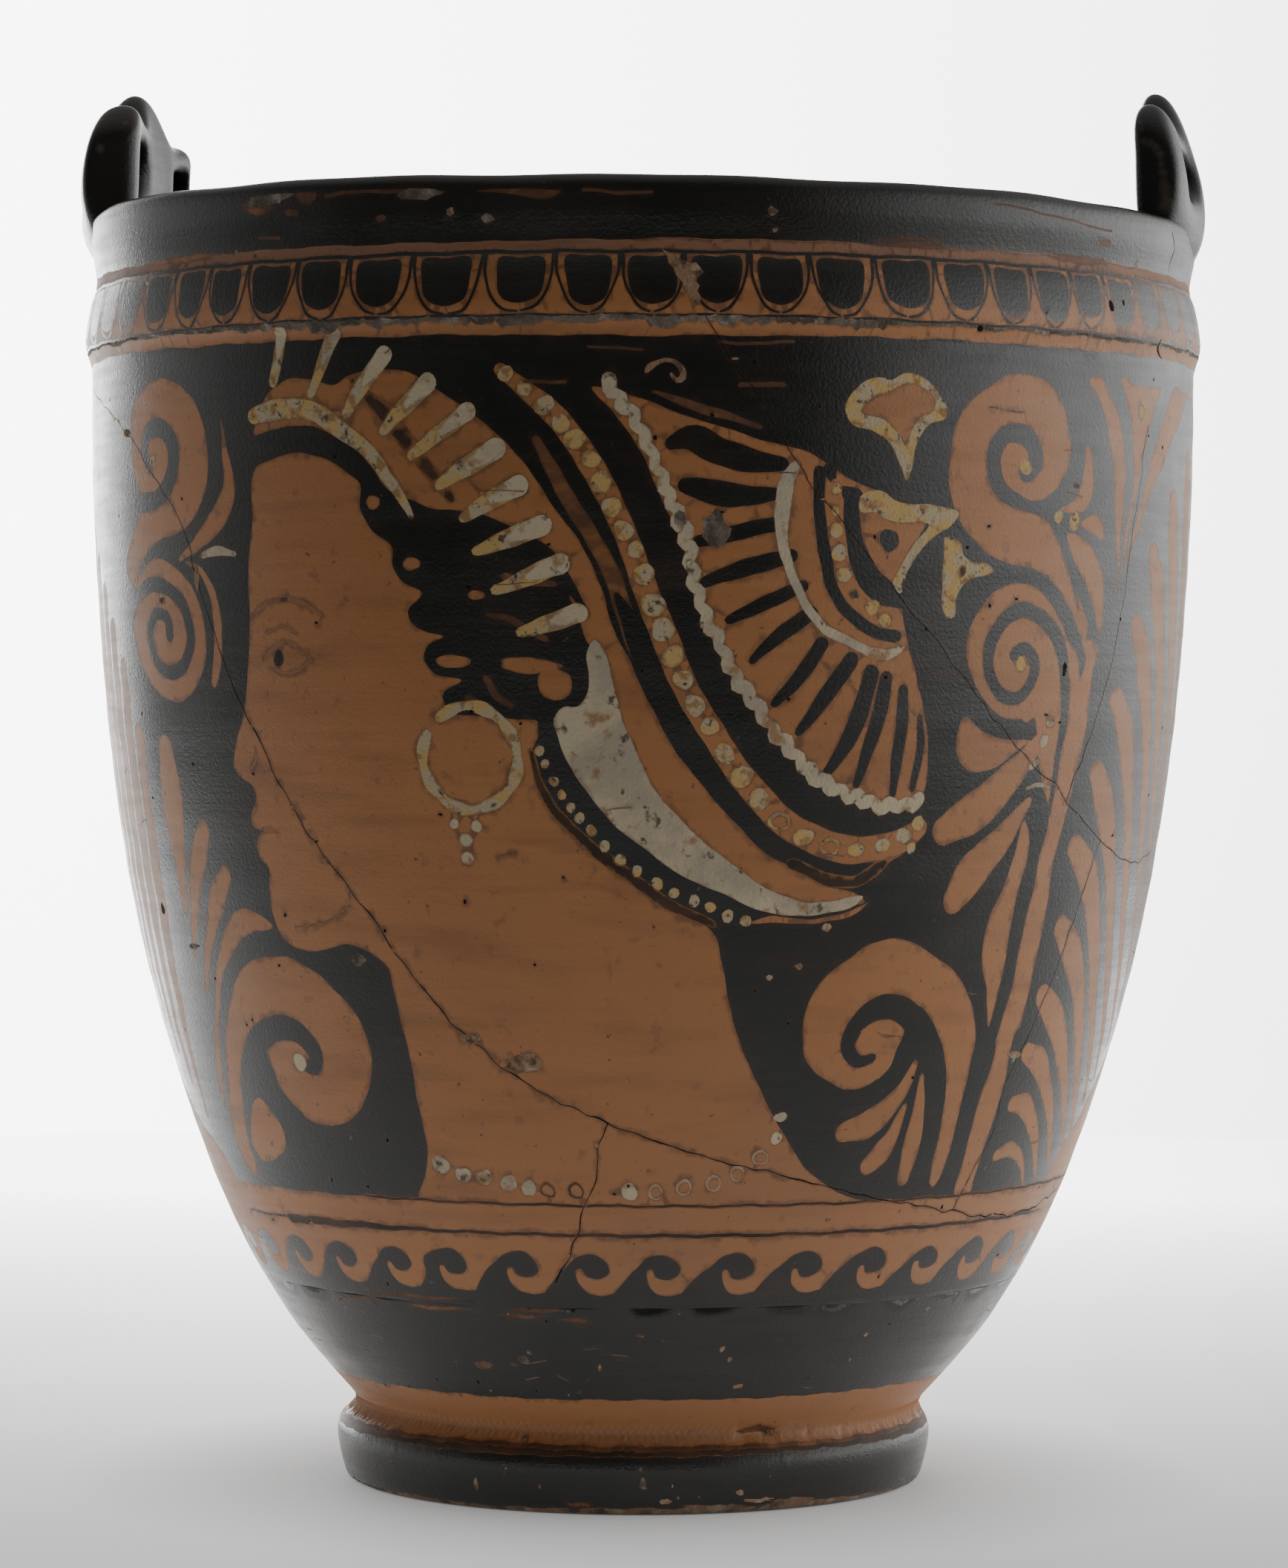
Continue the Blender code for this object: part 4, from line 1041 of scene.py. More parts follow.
def pick(kind, parts, wanted):
    """Opens the active piece for editing with only the wanted faces or edges selected."""
    bpy.ops.object.mode_set(mode="EDIT")
    bpy.ops.mesh.select_mode(type=kind)
    bpy.ops.mesh.select_all(action="DESELECT")
    leave()
    for part in parts:
        part.select = wanted(part)
    bpy.ops.object.mode_set(mode="EDIT")


def spun(name, profile):
    """A profile spun round Z, as the potter turns it, starting at the wall's seam."""
    deselect()
    bpy.ops.mesh.primitive_circle_add(vertices=len(profile), radius=0.1)
    form = bpy.context.object
    form.name = name
    start = SEAM / GIRTH_RADIUS + CAMERA_TURN
    for vertex, (radius, height) in zip(form.data.vertices, profile):
        vertex.co = (radius * math.sin(start), -radius * math.cos(start), height)
    closing = {0, len(profile) - 1}
    pick("EDGE", form.data.edges, lambda line: set(line.vertices) == closing)
    bpy.ops.mesh.delete(type="EDGE")
    bpy.ops.mesh.select_all(action="SELECT")
    bpy.ops.mesh.spin(steps=WALL_COLUMNS, angle=2 * math.pi, center=(0, 0, 0), axis=(0, 0, 1))
    bpy.ops.mesh.select_all(action="SELECT")
    bpy.ops.mesh.remove_doubles(threshold=0.000005)
    leave()
    return form


def wall_rows():
    """Heights of the wall's rows in millimetres: close together in the foot and the mouldings."""
    rows = list(LOWEST_ROWS)
    while rows[-1] < RIM_HEIGHT * 1000 - 3:
        rows.append(rows[-1] + (COARSE_ROW if FOOT_TOP <= rows[-1] <= MOULDING_START else FINE_ROW))
    top = painted_profile()[0][1] * 1000
    return [row for row in rows if row < top - 0.5] + [top]


def paint_sheet(wall):
    """The unrolled wall as triangles along every painted edge.

    Gives its points, its triangles, each triangle's finish, and which points lie where two finishes meet.
    """
    columns = np.linspace(SEAM - GIRTH, SEAM, WALL_COLUMNS + 1)
    rows = wall_rows()
    tree = kdtree.KDTree(sum(len(outline) for _, outline in wall.shapes))
    for index, (s, z) in enumerate(place for _, outline in wall.shapes for place in outline):
        tree.insert((s, z, 0), index)
    tree.balance()
    points, edges = [], []
    for number, z in enumerate(rows):
        border = number in (0, len(rows) - 1)
        offset = 0 if border or number % 2 else GIRTH / WALL_COLUMNS / 2
        for column, s in enumerate(columns):
            if offset and column == WALL_COLUMNS:
                points.append((SEAM, z))
                continue
            spot = s + offset
            if offset and column == 0:
                points.append((s, z))
            if border or (column in (0, WALL_COLUMNS) and not offset):
                points.append((s, z))
                if border and column:
                    edges.append((len(points) - 2, len(points) - 1))
            elif tree.find((spot, z, 0))[2] > CLEARANCE:
                points.append((spot, z))
    flat, triangles, painted = triangulated(points, edges, wall)
    taken = set()
    for s, z in flat[triangles[painted[triangles].all(axis=1)]].mean(axis=1):
        cell = (round(s / FILLING), round(z / FILLING))
        if cell not in taken and tree.find((s, z, 0))[2] > FILLING_CLEARANCE:
            taken.add(cell)
            points.append((s, z))
    flat, triangles, painted = triangulated(points, edges, wall)
    middles = flat[triangles].mean(axis=1)
    finish = np.zeros(len(triangles), int)
    for name, outline in wall.shapes:
        low, high = outline.min(axis=0), outline.max(axis=0)
        near = np.nonzero(((middles > low) & (middles < high)).all(axis=1))[0]
        if len(near):
            finish[near[inside(outline, middles[near])]] = FINISHES.index(name)
    low, high = np.full(len(flat), len(FINISHES)), np.full(len(flat), -1)
    for corner in range(3):
        np.minimum.at(low, triangles[:, corner], finish)
        np.maximum.at(high, triangles[:, corner], finish)
    return flat, triangles, finish, low != high


def triangulated(points, edges, wall):
    """Triangles between the points that keep to every outline, and which of their corners lie on one."""
    places, lines = list(points), list(edges)
    for _, outline in wall.shapes:
        first, count = len(places), len(outline)
        places.extend(map(tuple, outline))
        lines.extend((first + step, first + (step + 1) % count) for step in range(count))
    sheet, _, faces, sources, _, _ = delaunay_2d_cdt([Vector(place) for place in places], lines, [], 0, 1e-4, True)
    triangles = []
    for face in faces:
        triangles.extend((face[0], face[step], face[step + 1]) for step in range(1, len(face) - 1))
    painted = np.array([not source or max(source) >= len(points) for source in sources])
    return np.array(sheet), np.array(triangles), painted


def inside(outline, places):
    """Which places lie inside a closed outline."""
    within = np.zeros(len(places), bool)
    ends = np.roll(outline, -1, axis=0)
    for (s0, z0), (s1, z1) in zip(outline, ends):
        if z0 != z1:
            spans = (z0 > places[:, 1]) != (z1 > places[:, 1])
            within ^= spans & (places[:, 0] < (s1 - s0) * (places[:, 1] - z0) / (z1 - z0) + s0)
    return within


def wrapped(flat):
    """Points of the unrolled wall, in metres on the vessel."""
    profile = sorted((height, radius) for radius, height in painted_profile())
    heights, radii = zip(*profile)
    z = flat[:, 1] / 1000
    radius = np.interp(z, heights, radii)
    turn = flat[:, 0] / GIRTH_RADIUS + CAMERA_TURN
    return np.column_stack([radius * np.sin(turn), -radius * np.cos(turn), z])


# Waves of the thrown wall: size in metres, waves round, waves up and phase, for the sway, the rings and the rim
WALL_SWAY = [(0.00022, 2, 9, 0), (0.00012, 5, -31, 0), (0.00005, 9, 70, 0)]
THROWING_RINGS = [(0.00003, 0, 620, 0), (0.00003, 0, 410, 1.2)]
RIM_WAVE = [(0.00022, 3, 0, 0.8), (0.00014, 11, 0, 0), (0.00009, 23, 0, 2)]
RIM_SINK = 0.00030
LEFT_RISE = 0.0021
LEFT_RISE_TURN = 1.22
FOOT_SPREAD = 0.0013
FOOT_SHIFT = 0.0011


def uneven(places):
    """The slight waver of a wall thrown by hand, the rim's rise on the left and the foot set a little aside."""
    x, y, z = places.T
    turn = np.arctan2(x, -y)
    radius = np.hypot(x, y)

    def waves(rows):
        return sum(size * np.sin(around * turn + up * z + phase) for size, around, up, phase in rows)

    body = np.clip((z - 0.015) / 0.02, 0, 1)
    rim = np.clip((z - 0.240) / 0.012, 0, 1) ** 2
    foot = np.clip((0.0166 - z) / 0.004, 0, 1) * np.clip(radius / 0.05, 0, 1)
    scale = 1 + (body * (waves(WALL_SWAY) + waves(THROWING_RINGS)) + foot * FOOT_SPREAD) / np.maximum(radius, 0.02)
    left = LEFT_RISE * np.maximum(0, np.cos(turn + LEFT_RISE_TURN)) ** 1.6
    return np.column_stack([x * scale - foot * FOOT_SHIFT, y * scale, z + rim * (waves(RIM_WAVE) + left - RIM_SINK)])


# ---------------------------------------------------------------------------
# Finishes
# ---------------------------------------------------------------------------


def noise(tree, coordinates, scale, detail=3.0, roughness=0.55, stretch=None, distortion=0.0):
    """A noise pattern on the piece's own coordinates, stretched along the axes where asked."""
    if stretch:
        mapping = tree.nodes.new("ShaderNodeMapping")
        mapping.inputs["Scale"].default_value = stretch
        tree.links.new(coordinates, mapping.inputs["Vector"])
        coordinates = mapping.outputs["Vector"]
    pattern = tree.nodes.new("ShaderNodeTexNoise")
    pattern.inputs["Scale"].default_value = scale
    pattern.inputs["Detail"].default_value = detail
    pattern.inputs["Roughness"].default_value = roughness
    pattern.inputs["Distortion"].default_value = distortion
    tree.links.new(coordinates, pattern.inputs["Vector"])
    return pattern.outputs["Fac"]


def ramp(tree, value, low, high, start=0.0, end=1.0):
    """The value spread from low..high to start..end, and held beyond them."""
    node = tree.nodes.new("ShaderNodeMapRange")
    node.inputs["From Min"].default_value = low
    node.inputs["From Max"].default_value = high
    node.inputs["To Min"].default_value = start
    node.inputs["To Max"].default_value = end
    tree.links.new(value, node.inputs["Value"])
    return node.outputs["Result"]


def blended(tree, share, under, over):
    """Two colours, or outputs that carry colours, mixed by a share."""
    node = tree.nodes.new("ShaderNodeMix")
    node.data_type = "RGBA"
    tree.links.new(share, node.inputs["Factor"])
    for socket, colour in ((node.inputs["A"], under), (node.inputs["B"], over)):
        if isinstance(colour, bpy.types.NodeSocket):
            tree.links.new(colour, socket)
        else:
            socket.default_value = (*colour[:3], 1.0)
    return node.outputs["Result"]


def maths(tree, operation, first, *others):
    """The values, or outputs that carry values, taken together one after the other."""
    for other in others:
        node = tree.nodes.new("ShaderNodeMath")
        node.operation = operation
        for socket, value in zip(node.inputs, (first, other)):
            if isinstance(value, bpy.types.NodeSocket):
                tree.links.new(value, socket)
            else:
                socket.default_value = value
        first = node.outputs["Value"]
    return first


def new_finish(name, layers, rough, grain=0.00006, rings=0.00005, specular=0.5, marks=()):
    """A fired or painted surface: colour layers over each other, then roughness, throwing rings and grain.

    Each layer is a colour, a noise scale, the noise level where it starts and where it is full, and a stretch.
    Each mark is an attribute of the piece, the colour that shows where it says so, the level where that starts,
    and its share.
    """
    material = bpy.data.materials.new(name)
    material.use_nodes = True
    tree = material.node_tree
    shader = tree.nodes["Principled BSDF"]
    coordinates = tree.nodes.new("ShaderNodeTexCoord").outputs["Object"]
    colour = layers[0]
    for tint, scale, low, high, *stretch in layers[1:]:
        share = ramp(tree, noise(tree, coordinates, scale, 5.0, 0.6, *stretch), low, high)
        colour = blended(tree, share, colour, tint)
    for attribute, tint, low, most in marks:
        mark = tree.nodes.new("ShaderNodeAttribute")
        mark.attribute_name = attribute
        ragged = ramp(tree, noise(tree, coordinates, 420, 5.0), 0.25, 0.75, 0.55, 1.35)
        broken = maths(tree, "MULTIPLY", mark.outputs["Fac"], ragged)
        colour = blended(tree, ramp(tree, broken, low, 1.0, 0.0, most), colour, tint)
    tree.links.new(colour, shader.inputs["Base Color"])
    mottled = noise(tree, coordinates, 90, 4.0)
    streaks = noise(tree, coordinates, 40, 3.0, stretch=(1, 1, 14))
    gloss = maths(tree, "ADD", *(ramp(tree, pattern, 0.3, 0.7, -0.5, 0.5) for pattern in (mottled, streaks)))
    tree.links.new(ramp(tree, gloss, -1.0, 1.0, *rough), shader.inputs["Roughness"])
    shader.inputs["Specular IOR Level"].default_value = specular
    fine = noise(tree, coordinates, 1500, 3.0)
    turned = noise(tree, coordinates, 26, 4.0, 0.6, (0.35, 0.35, 22))
    height = maths(tree, "ADD", maths(tree, "MULTIPLY", fine, grain), maths(tree, "MULTIPLY", turned, rings))
    bump = tree.nodes.new("ShaderNodeBump")
    bump.inputs["Strength"].default_value = 1.0
    bump.inputs["Distance"].default_value = 1.0
    tree.links.new(height, bump.inputs["Height"])
    tree.links.new(bump.outputs["Normal"], shader.inputs["Normal"])
    return material


def make_finishes(look):
    """Every finish of the wall, in the order of FINISHES."""
    black, clay = tuple(look.slip_colour), tuple(look.clay_colour)
    deep, light = tuple(part * 0.70 for part in clay), tuple(part * 1.15 for part in clay)
    gloss = (look.slip_roughness - 0.07, look.slip_roughness + 0.13)
    soft = [("fringe", clay, 0.45, 0.7)]
    return [
        new_finish("black_gloss_slip", [
            black, ((0.024, 0.017, 0.011), 18, 0.48, 0.8), ((0.026, 0.028, 0.026), 9, 0.48, 0.8),
            ((0.048, 0.020, 0.009), 14, 0.60, 0.78, (1, 1, 5)), ((0.016, 0.011, 0.008), 60, 0.5, 0.75, (1, 1, 8)),
            ((0.10, 0.08, 0.065), 420, 0.69, 0.76),
        ], gloss, 0.00008, marks=[
            ("fringe", (0.030, 0.016, 0.008), 0.50, 0.8), ("rubbed", (0.11, 0.083, 0.057), 0.30, 0.9),
        ]),
        new_finish("reserved_clay", [
            clay, (light, 14, 0.45, 0.75), (deep, 30, 0.48, 0.8, (1, 1, 6)), ((0.28, 0.135, 0.062), 7, 0.48, 0.75),
            ((0.20, 0.085, 0.040), 240, 0.60, 0.78), ((0.085, 0.048, 0.030), 560, 0.665, 0.73),
        ], (0.38, 0.54), 0.00009, 0.00006, 0.5, [("fringe", (0.11, 0.047, 0.021), 0.58, 0.7)]),
        new_finish("added_white", [
            (0.54, 0.45, 0.30), ((0.40, 0.335, 0.245), 70, 0.43, 0.58), ((0.33, 0.20, 0.10), 190, 0.56, 0.66),
            ((0.13, 0.10, 0.07), 360, 0.60, 0.67),
        ], (0.62, 0.8), 0.00024, 0.00002, 0.3, [("fringe", (0.24, 0.15, 0.085), 0.70, 0.6)]),
        new_finish("added_yellow", [
            (0.52, 0.35, 0.135), ((0.45, 0.37, 0.24), 260, 0.46, 0.54), ((0.33, 0.19, 0.08), 340, 0.54, 0.62),
            ((0.11, 0.072, 0.045), 520, 0.59, 0.66),
        ], (0.62, 0.8), 0.00026, 0.00002, 0.3, [("fringe", (0.22, 0.125, 0.055), 0.70, 0.6)]),
        new_finish("dilute_slip", [
            (0.050, 0.024, 0.012), ((0.026, 0.015, 0.009), 80, 0.45, 0.6),
            ((0.12, 0.050, 0.022), 50, 0.5, 0.75, (1, 1, 4)),
        ], (0.45, 0.62), specular=0.35, marks=soft),
        new_finish("slip_wash", [
            (0.15, 0.062, 0.026), ((0.070, 0.032, 0.016), 90, 0.45, 0.7), (clay, 60, 0.52, 0.75, (1, 1, 3)),
        ], (0.48, 0.65), specular=0.35, marks=[("fringe", (0.06, 0.030, 0.016), 0.45, 0.6)]),
        new_finish("relief_line", [
            (0.075, 0.030, 0.014), ((0.14, 0.060, 0.028), 300, 0.45, 0.65),
        ], (0.4, 0.55), marks=soft),
        new_finish("worn_edge", [
            (0.20, 0.125, 0.080), ((0.08, 0.058, 0.042), 200, 0.45, 0.6), ((0.30, 0.22, 0.15), 330, 0.5, 0.7),
        ], (0.7, 0.9), 0.0003, 0.0, 0.2),
        new_finish("crack_dark", [
            (0.012, 0.008, 0.006), ((0.07, 0.045, 0.03), 500, 0.55, 0.7),
        ], (0.8, 0.95), 0.0002, 0.0, 0.15),
        new_finish("chipped_clay", [
            (0.30, 0.185, 0.11), ((0.46, 0.34, 0.235), 160, 0.50, 0.64), ((0.12, 0.07, 0.042), 300, 0.50, 0.62),
        ], (0.75, 0.9), 0.0004, 0.0, 0.2),
        new_finish("lime_crust", [
            (0.17, 0.135, 0.105), ((0.085, 0.066, 0.05), 190, 0.42, 0.6), ((0.30, 0.255, 0.205), 300, 0.52, 0.66),
        ], (0.7, 0.9), 0.0005, 0.0, 0.25),
        new_finish("dull_clay", [
            (0.27, 0.130, 0.070), (clay, 26, 0.50, 0.75, (1, 1, 6)), ((0.16, 0.088, 0.055), 60, 0.48, 0.72, (1, 1, 5)),
            ((0.085, 0.052, 0.035), 420, 0.64, 0.72),
        ], (0.5, 0.68), 0.00012, 0.00006, 0.4, [("fringe", (0.085, 0.040, 0.022), 0.45, 0.8)]),
        new_finish("inner_slip", [
            (0.040, 0.028, 0.021), ((0.085, 0.045, 0.026), 16, 0.50, 0.75, (1, 1, 6)),
            ((0.020, 0.016, 0.013), 40, 0.48, 0.72, (1, 1, 5)), ((0.14, 0.105, 0.080), 260, 0.63, 0.72),
        ], (0.40, 0.62), 0.00012, 0.00010),
    ]


# ---------------------------------------------------------------------------
# Settings and operators
# ---------------------------------------------------------------------------


class SitulaForm(bpy.types.PropertyGroup):
    """Sizes of the lugs' cages, in metres."""

    left_post: bpy.props.FloatProperty(
        name="Left post", description="Width of the post between the left lug's two loops", default=0.0196,
        unit="LENGTH",
    )
    right_post: bpy.props.FloatProperty(
        name="Right post", description="Width of the post between the right lug's two loops", default=0.0156,
        unit="LENGTH",
    )
    knob: bpy.props.FloatProperty(
        name="Knob", description="Width of the knob over the middle post", default=0.0112, unit="LENGTH",
    )
    hole: bpy.props.FloatProperty(
        name="Loop opening", description="Width of each loop's opening", default=0.0122, unit="LENGTH",
    )
    reach: bpy.props.FloatProperty(
        name="Reach", description="From a lug's middle to its end, along the rim", default=0.0295, unit="LENGTH",
    )
    shoulder: bpy.props.FloatProperty(
        name="Shoulder", description="Width of the rounded shoulder of a loop", default=0.0036, unit="LENGTH",
    )
    sill: bpy.props.FloatProperty(
        name="Sill", description="Height of the openings above the rim", default=0.0048, unit="LENGTH",
    )
    tall: bpy.props.FloatProperty(
        name="Opening height", description="Height of each loop's opening", default=0.0108, unit="LENGTH",
    )
    bar: bpy.props.FloatProperty(
        name="Loop bar", description="Thickness of the clay over each opening", default=0.0086, unit="LENGTH",
    )
    peak: bpy.props.FloatProperty(
        name="Peak", description="Rise of the middle knob above the loops", default=0.0048, unit="LENGTH",
    )
    inset: bpy.props.FloatProperty(
        name="End edge", description="Width of the rounded edge round each end of a lug", default=0.0040,
        unit="LENGTH",
    )


class SitulaLook(bpy.types.PropertyGroup):
    """Colours and gloss of the slip and the clay."""

    slip_colour: bpy.props.FloatVectorProperty(
        name="Slip", description="Colour of the black gloss slip", default=(0.0098, 0.0095, 0.0080), subtype="COLOR",
    )
    slip_roughness: bpy.props.FloatProperty(
        name="Slip roughness", description="Roughness of the black gloss slip", default=0.23, min=0.05, max=1.0,
    )
    clay_colour: bpy.props.FloatVectorProperty(
        name="Clay", description="Colour of the reserved clay", default=(0.376, 0.157, 0.052), subtype="COLOR",
    )


class SitulaStage(bpy.types.PropertyGroup):
    """Camera, floor and light."""

    distance: bpy.props.FloatProperty(
        name="Camera distance", description="From the vessel's axis to the camera", default=1.0574, unit="LENGTH",
    )
    height: bpy.props.FloatProperty(
        name="Camera height", description="Height of the camera above the floor", default=0.1535, unit="LENGTH",
    )
    pitch: bpy.props.FloatProperty(
        name="Pitch", description="How far the camera looks down", default=0.0109, subtype="ANGLE",
    )
    roll: bpy.props.FloatProperty(
        name="Roll", description="How far the camera is turned about its view", default=0.0039, subtype="ANGLE",
    )
    lens: bpy.props.FloatProperty(
        name="Lens", description="Focal length in millimetres on a sensor 36 mm high", default=117.93,
    )
    aside: bpy.props.FloatProperty(
        name="Aside", description="How far the camera stands to the right of its line", default=0.0006, unit="LENGTH",
    )
    floor_size: bpy.props.FloatProperty(
        name="Floor", description="Radius of the round floor", default=0.9, unit="LENGTH",
    )
    floor_glow: bpy.props.FloatProperty(
        name="Floor glow", description="Light that the white floor gives under the vessel", default=1.05,
    )
    front_light: bpy.props.FloatProperty(
        name="Front light", description="Brightness of the room in front of the vessel", default=0.11,
    )
    right_light: bpy.props.FloatProperty(
        name="Right light", description="Brightness of the wide soft light on the right", default=3.0,
    )
    left_light: bpy.props.FloatProperty(
        name="Left light", description="Brightness of the soft light on the left", default=0.8,
    )
    back_light: bpy.props.FloatProperty(
        name="Back light", description="Brightness of the backdrop's left side behind the vessel", default=8.0,
    )
    top_share: bpy.props.FloatProperty(
        name="Upper share", description="Share of the brightness left high up in the room", default=0.3,
    )
    ceiling_light: bpy.props.FloatProperty(
        name="Ceiling", description="Brightness of the ceiling right overhead", default=0.45,
    )
    screen_light: bpy.props.FloatProperty(
        name="Backdrop", description="Brightness of the white backdrop as it is seen", default=6.5,
    )


# The cages of the lugs, in metres: two rows under the rim's edge, how far each column's top lies under the loops
# or the knob, and how far the middle of each row stands out from the lip
SEAT_ROWS = [-0.0105, -0.0035]
TOP_DROPS = [0.0052, 0.0006, 0.0, 0.0050, 0.0014, 0.0, 0.0014, 0.0056, 0.0034, 0.0058, 0.0110]
KNOB_COLUMNS = (4, 5, 6)
FAR_HOLE_COLUMNS = (7, 8)
OUTWARD = [-0.0025, 0.0030, 0.0030, 0.0008, -0.0040]
SEAT_RADIUS = 0.1080
LOW_INNER_RADIUS = 0.1052
END_WIDENING = 0.0006
TOP_ROUNDING = 0.0008
# What differs from lug to lug: side of X, moves of the sill, the openings' top and the far opening's edges, the whole
# lug's lift and sinking, the drop of the far opening, the inward lean of its top, the ends of each row, the radius of
# the inner side column by column, and where the slip is rubbed off near its end (across, up and reach round it)
LUGS = {
    "lug_right": dict(
        side=1, sill=0.0014, opening_top=-0.0012, far_hole=(0.0, 0.0), far_drop=0.0,
        lift=-0.0002, sunk=0.0009, lean=0.0,
        ends=[-0.0050, -0.0020, 0.0012, -0.0004, -0.0032],
        inward=[0.1037, 0.1033, 0.1025, 0.1020, 0.1018, 0.1017, 0.1018, 0.1021, 0.1029, 0.1041, 0.1048],
        rubbed=[
            (0.1022, 0.2704, 0.0010), (0.1034, 0.2700, 0.0012), (0.1046, 0.2692, 0.0012), (0.1053, 0.2678, 0.0011),
            (0.1057, 0.2660, 0.0010), (0.1059, 0.2642, 0.0011), (0.1061, 0.2624, 0.0012), (0.1063, 0.2606, 0.0015),
            (0.1064, 0.2590, 0.0017), (0.1064, 0.2576, 0.0018), (0.1016, 0.2730, 0.0009), (0.1014, 0.2744, 0.0008),
        ],
    ),
    "lug_left": dict(
        side=-1, sill=0.0, opening_top=0.0, far_hole=(0.0030, 0.0022), far_drop=0.0030,
        lift=0.0008, sunk=0.0, lean=0.0026,
        ends=[-0.0050, -0.0012, 0.0026, 0.0012, -0.0016],
        inward=[0.1042, 0.1033, 0.1029, 0.1014, 0.1010, 0.1006, 0.1000, 0.0987, 0.1002, 0.1012, 0.1026],
        rubbed=[
            (-0.1118, 0.2650, 0.0009), (-0.1122, 0.2630, 0.0008), (-0.1030, 0.2755, 0.0008), (-0.1075, 0.2700, 0.0012),
        ],
    ),
}
NEAR_END = -0.022


def lug_cage(form, post, lug_form):
    """A coarse cage of one lug, bent round the rim on its side of X, straighter on its inner side."""
    side, inward, ends = (lug_form[key] for key in ("side", "inward", "ends"))
    hole_start = post / 2
    hole_end = hole_start + form.hole
    end = form.reach
    half = [form.knob / 2, hole_start, hole_end, end - form.shoulder, end]
    columns = [-place for place in reversed(half)] + [0.0] + half
    for column, move in zip(FAR_HOLE_COLUMNS, lug_form["far_hole"]):
        columns[column] += move
    top = form.sill + form.tall
    loop = top + form.bar
    rows = [*SEAT_ROWS, form.sill + lug_form["sill"], top + lug_form["opening_top"]]
    knob = loop + form.peak
    tops = [(knob if column in KNOB_COLUMNS else loop) - drop for column, drop in enumerate(TOP_DROPS)]
    across, up = len(columns) - 1, len(rows)
    deselect()
    bpy.ops.mesh.primitive_grid_add(x_subdivisions=across, y_subdivisions=up, size=1)
    lug = bpy.context.object

    def cell(place):
        return int((place.x + 0.5) * across), int((place.y + 0.5) * up)

    openings = ((2, 2), (across - 3, 2))
    pick("FACE", lug.data.polygons, lambda face: cell(face.center) in openings)
    bpy.ops.mesh.delete(type="FACE")
    bpy.ops.mesh.select_all(action="SELECT")
    bpy.ops.mesh.solidify(thickness=0.5)
    leave()
    front = max(vertex.co.z for vertex in lug.data.vertices)
    outer_ends = {vertex.index for vertex in lug.data.vertices if abs(vertex.co.x) > 0.499}
    for vertex in lug.data.vertices:
        column = round((vertex.co.x + 0.5) * across)
        row = round((vertex.co.y + 0.5) * up)
        share = (abs(columns[column]) / end) ** 2.5
        if abs(vertex.co.z - front) < 0.01:
            radius = LIP_RADIUS + OUTWARD[row] * (1 - share) + ends[row] * share - lug_form["sunk"]
        elif row == 0:
            radius = SEAT_RADIUS
        elif row == 1:
            radius = inward[column] + END_WIDENING if column < 2 or column > across - 2 else LOW_INNER_RADIUS
        else:
            radius = inward[column] - (TOP_ROUNDING if row == up else 0)
            radius += lug_form["lean"] if row == up and 3 < column < 8 else 0
        height = tops[column] if row == up else rows[row]
        if row == 3 and column in FAR_HOLE_COLUMNS:
            height -= lug_form["far_drop"]
        angle = columns[column] / LIP_RADIUS
        height += RIM_HEIGHT + lug_form["lift"]
        vertex.co = (side * radius * math.cos(angle), radius * math.sin(angle), height)
    edit(lug)
    bpy.ops.mesh.normals_make_consistent(inside=False)
    leave()
    pick("FACE", lug.data.polygons, lambda face: set(face.vertices) <= outer_ends)
    bpy.ops.mesh.inset(thickness=form.inset)
    leave()
    return lug


def rubbed_share(place, spots):
    """How far the slip is rubbed off a lug at a place, from 0 to 1."""
    if place.y > NEAR_END:
        return 0.0
    return max(max(0.0, 1 - math.hypot(place.x - x, place.z - z) / (1.5 * reach)) for x, z, reach in spots)


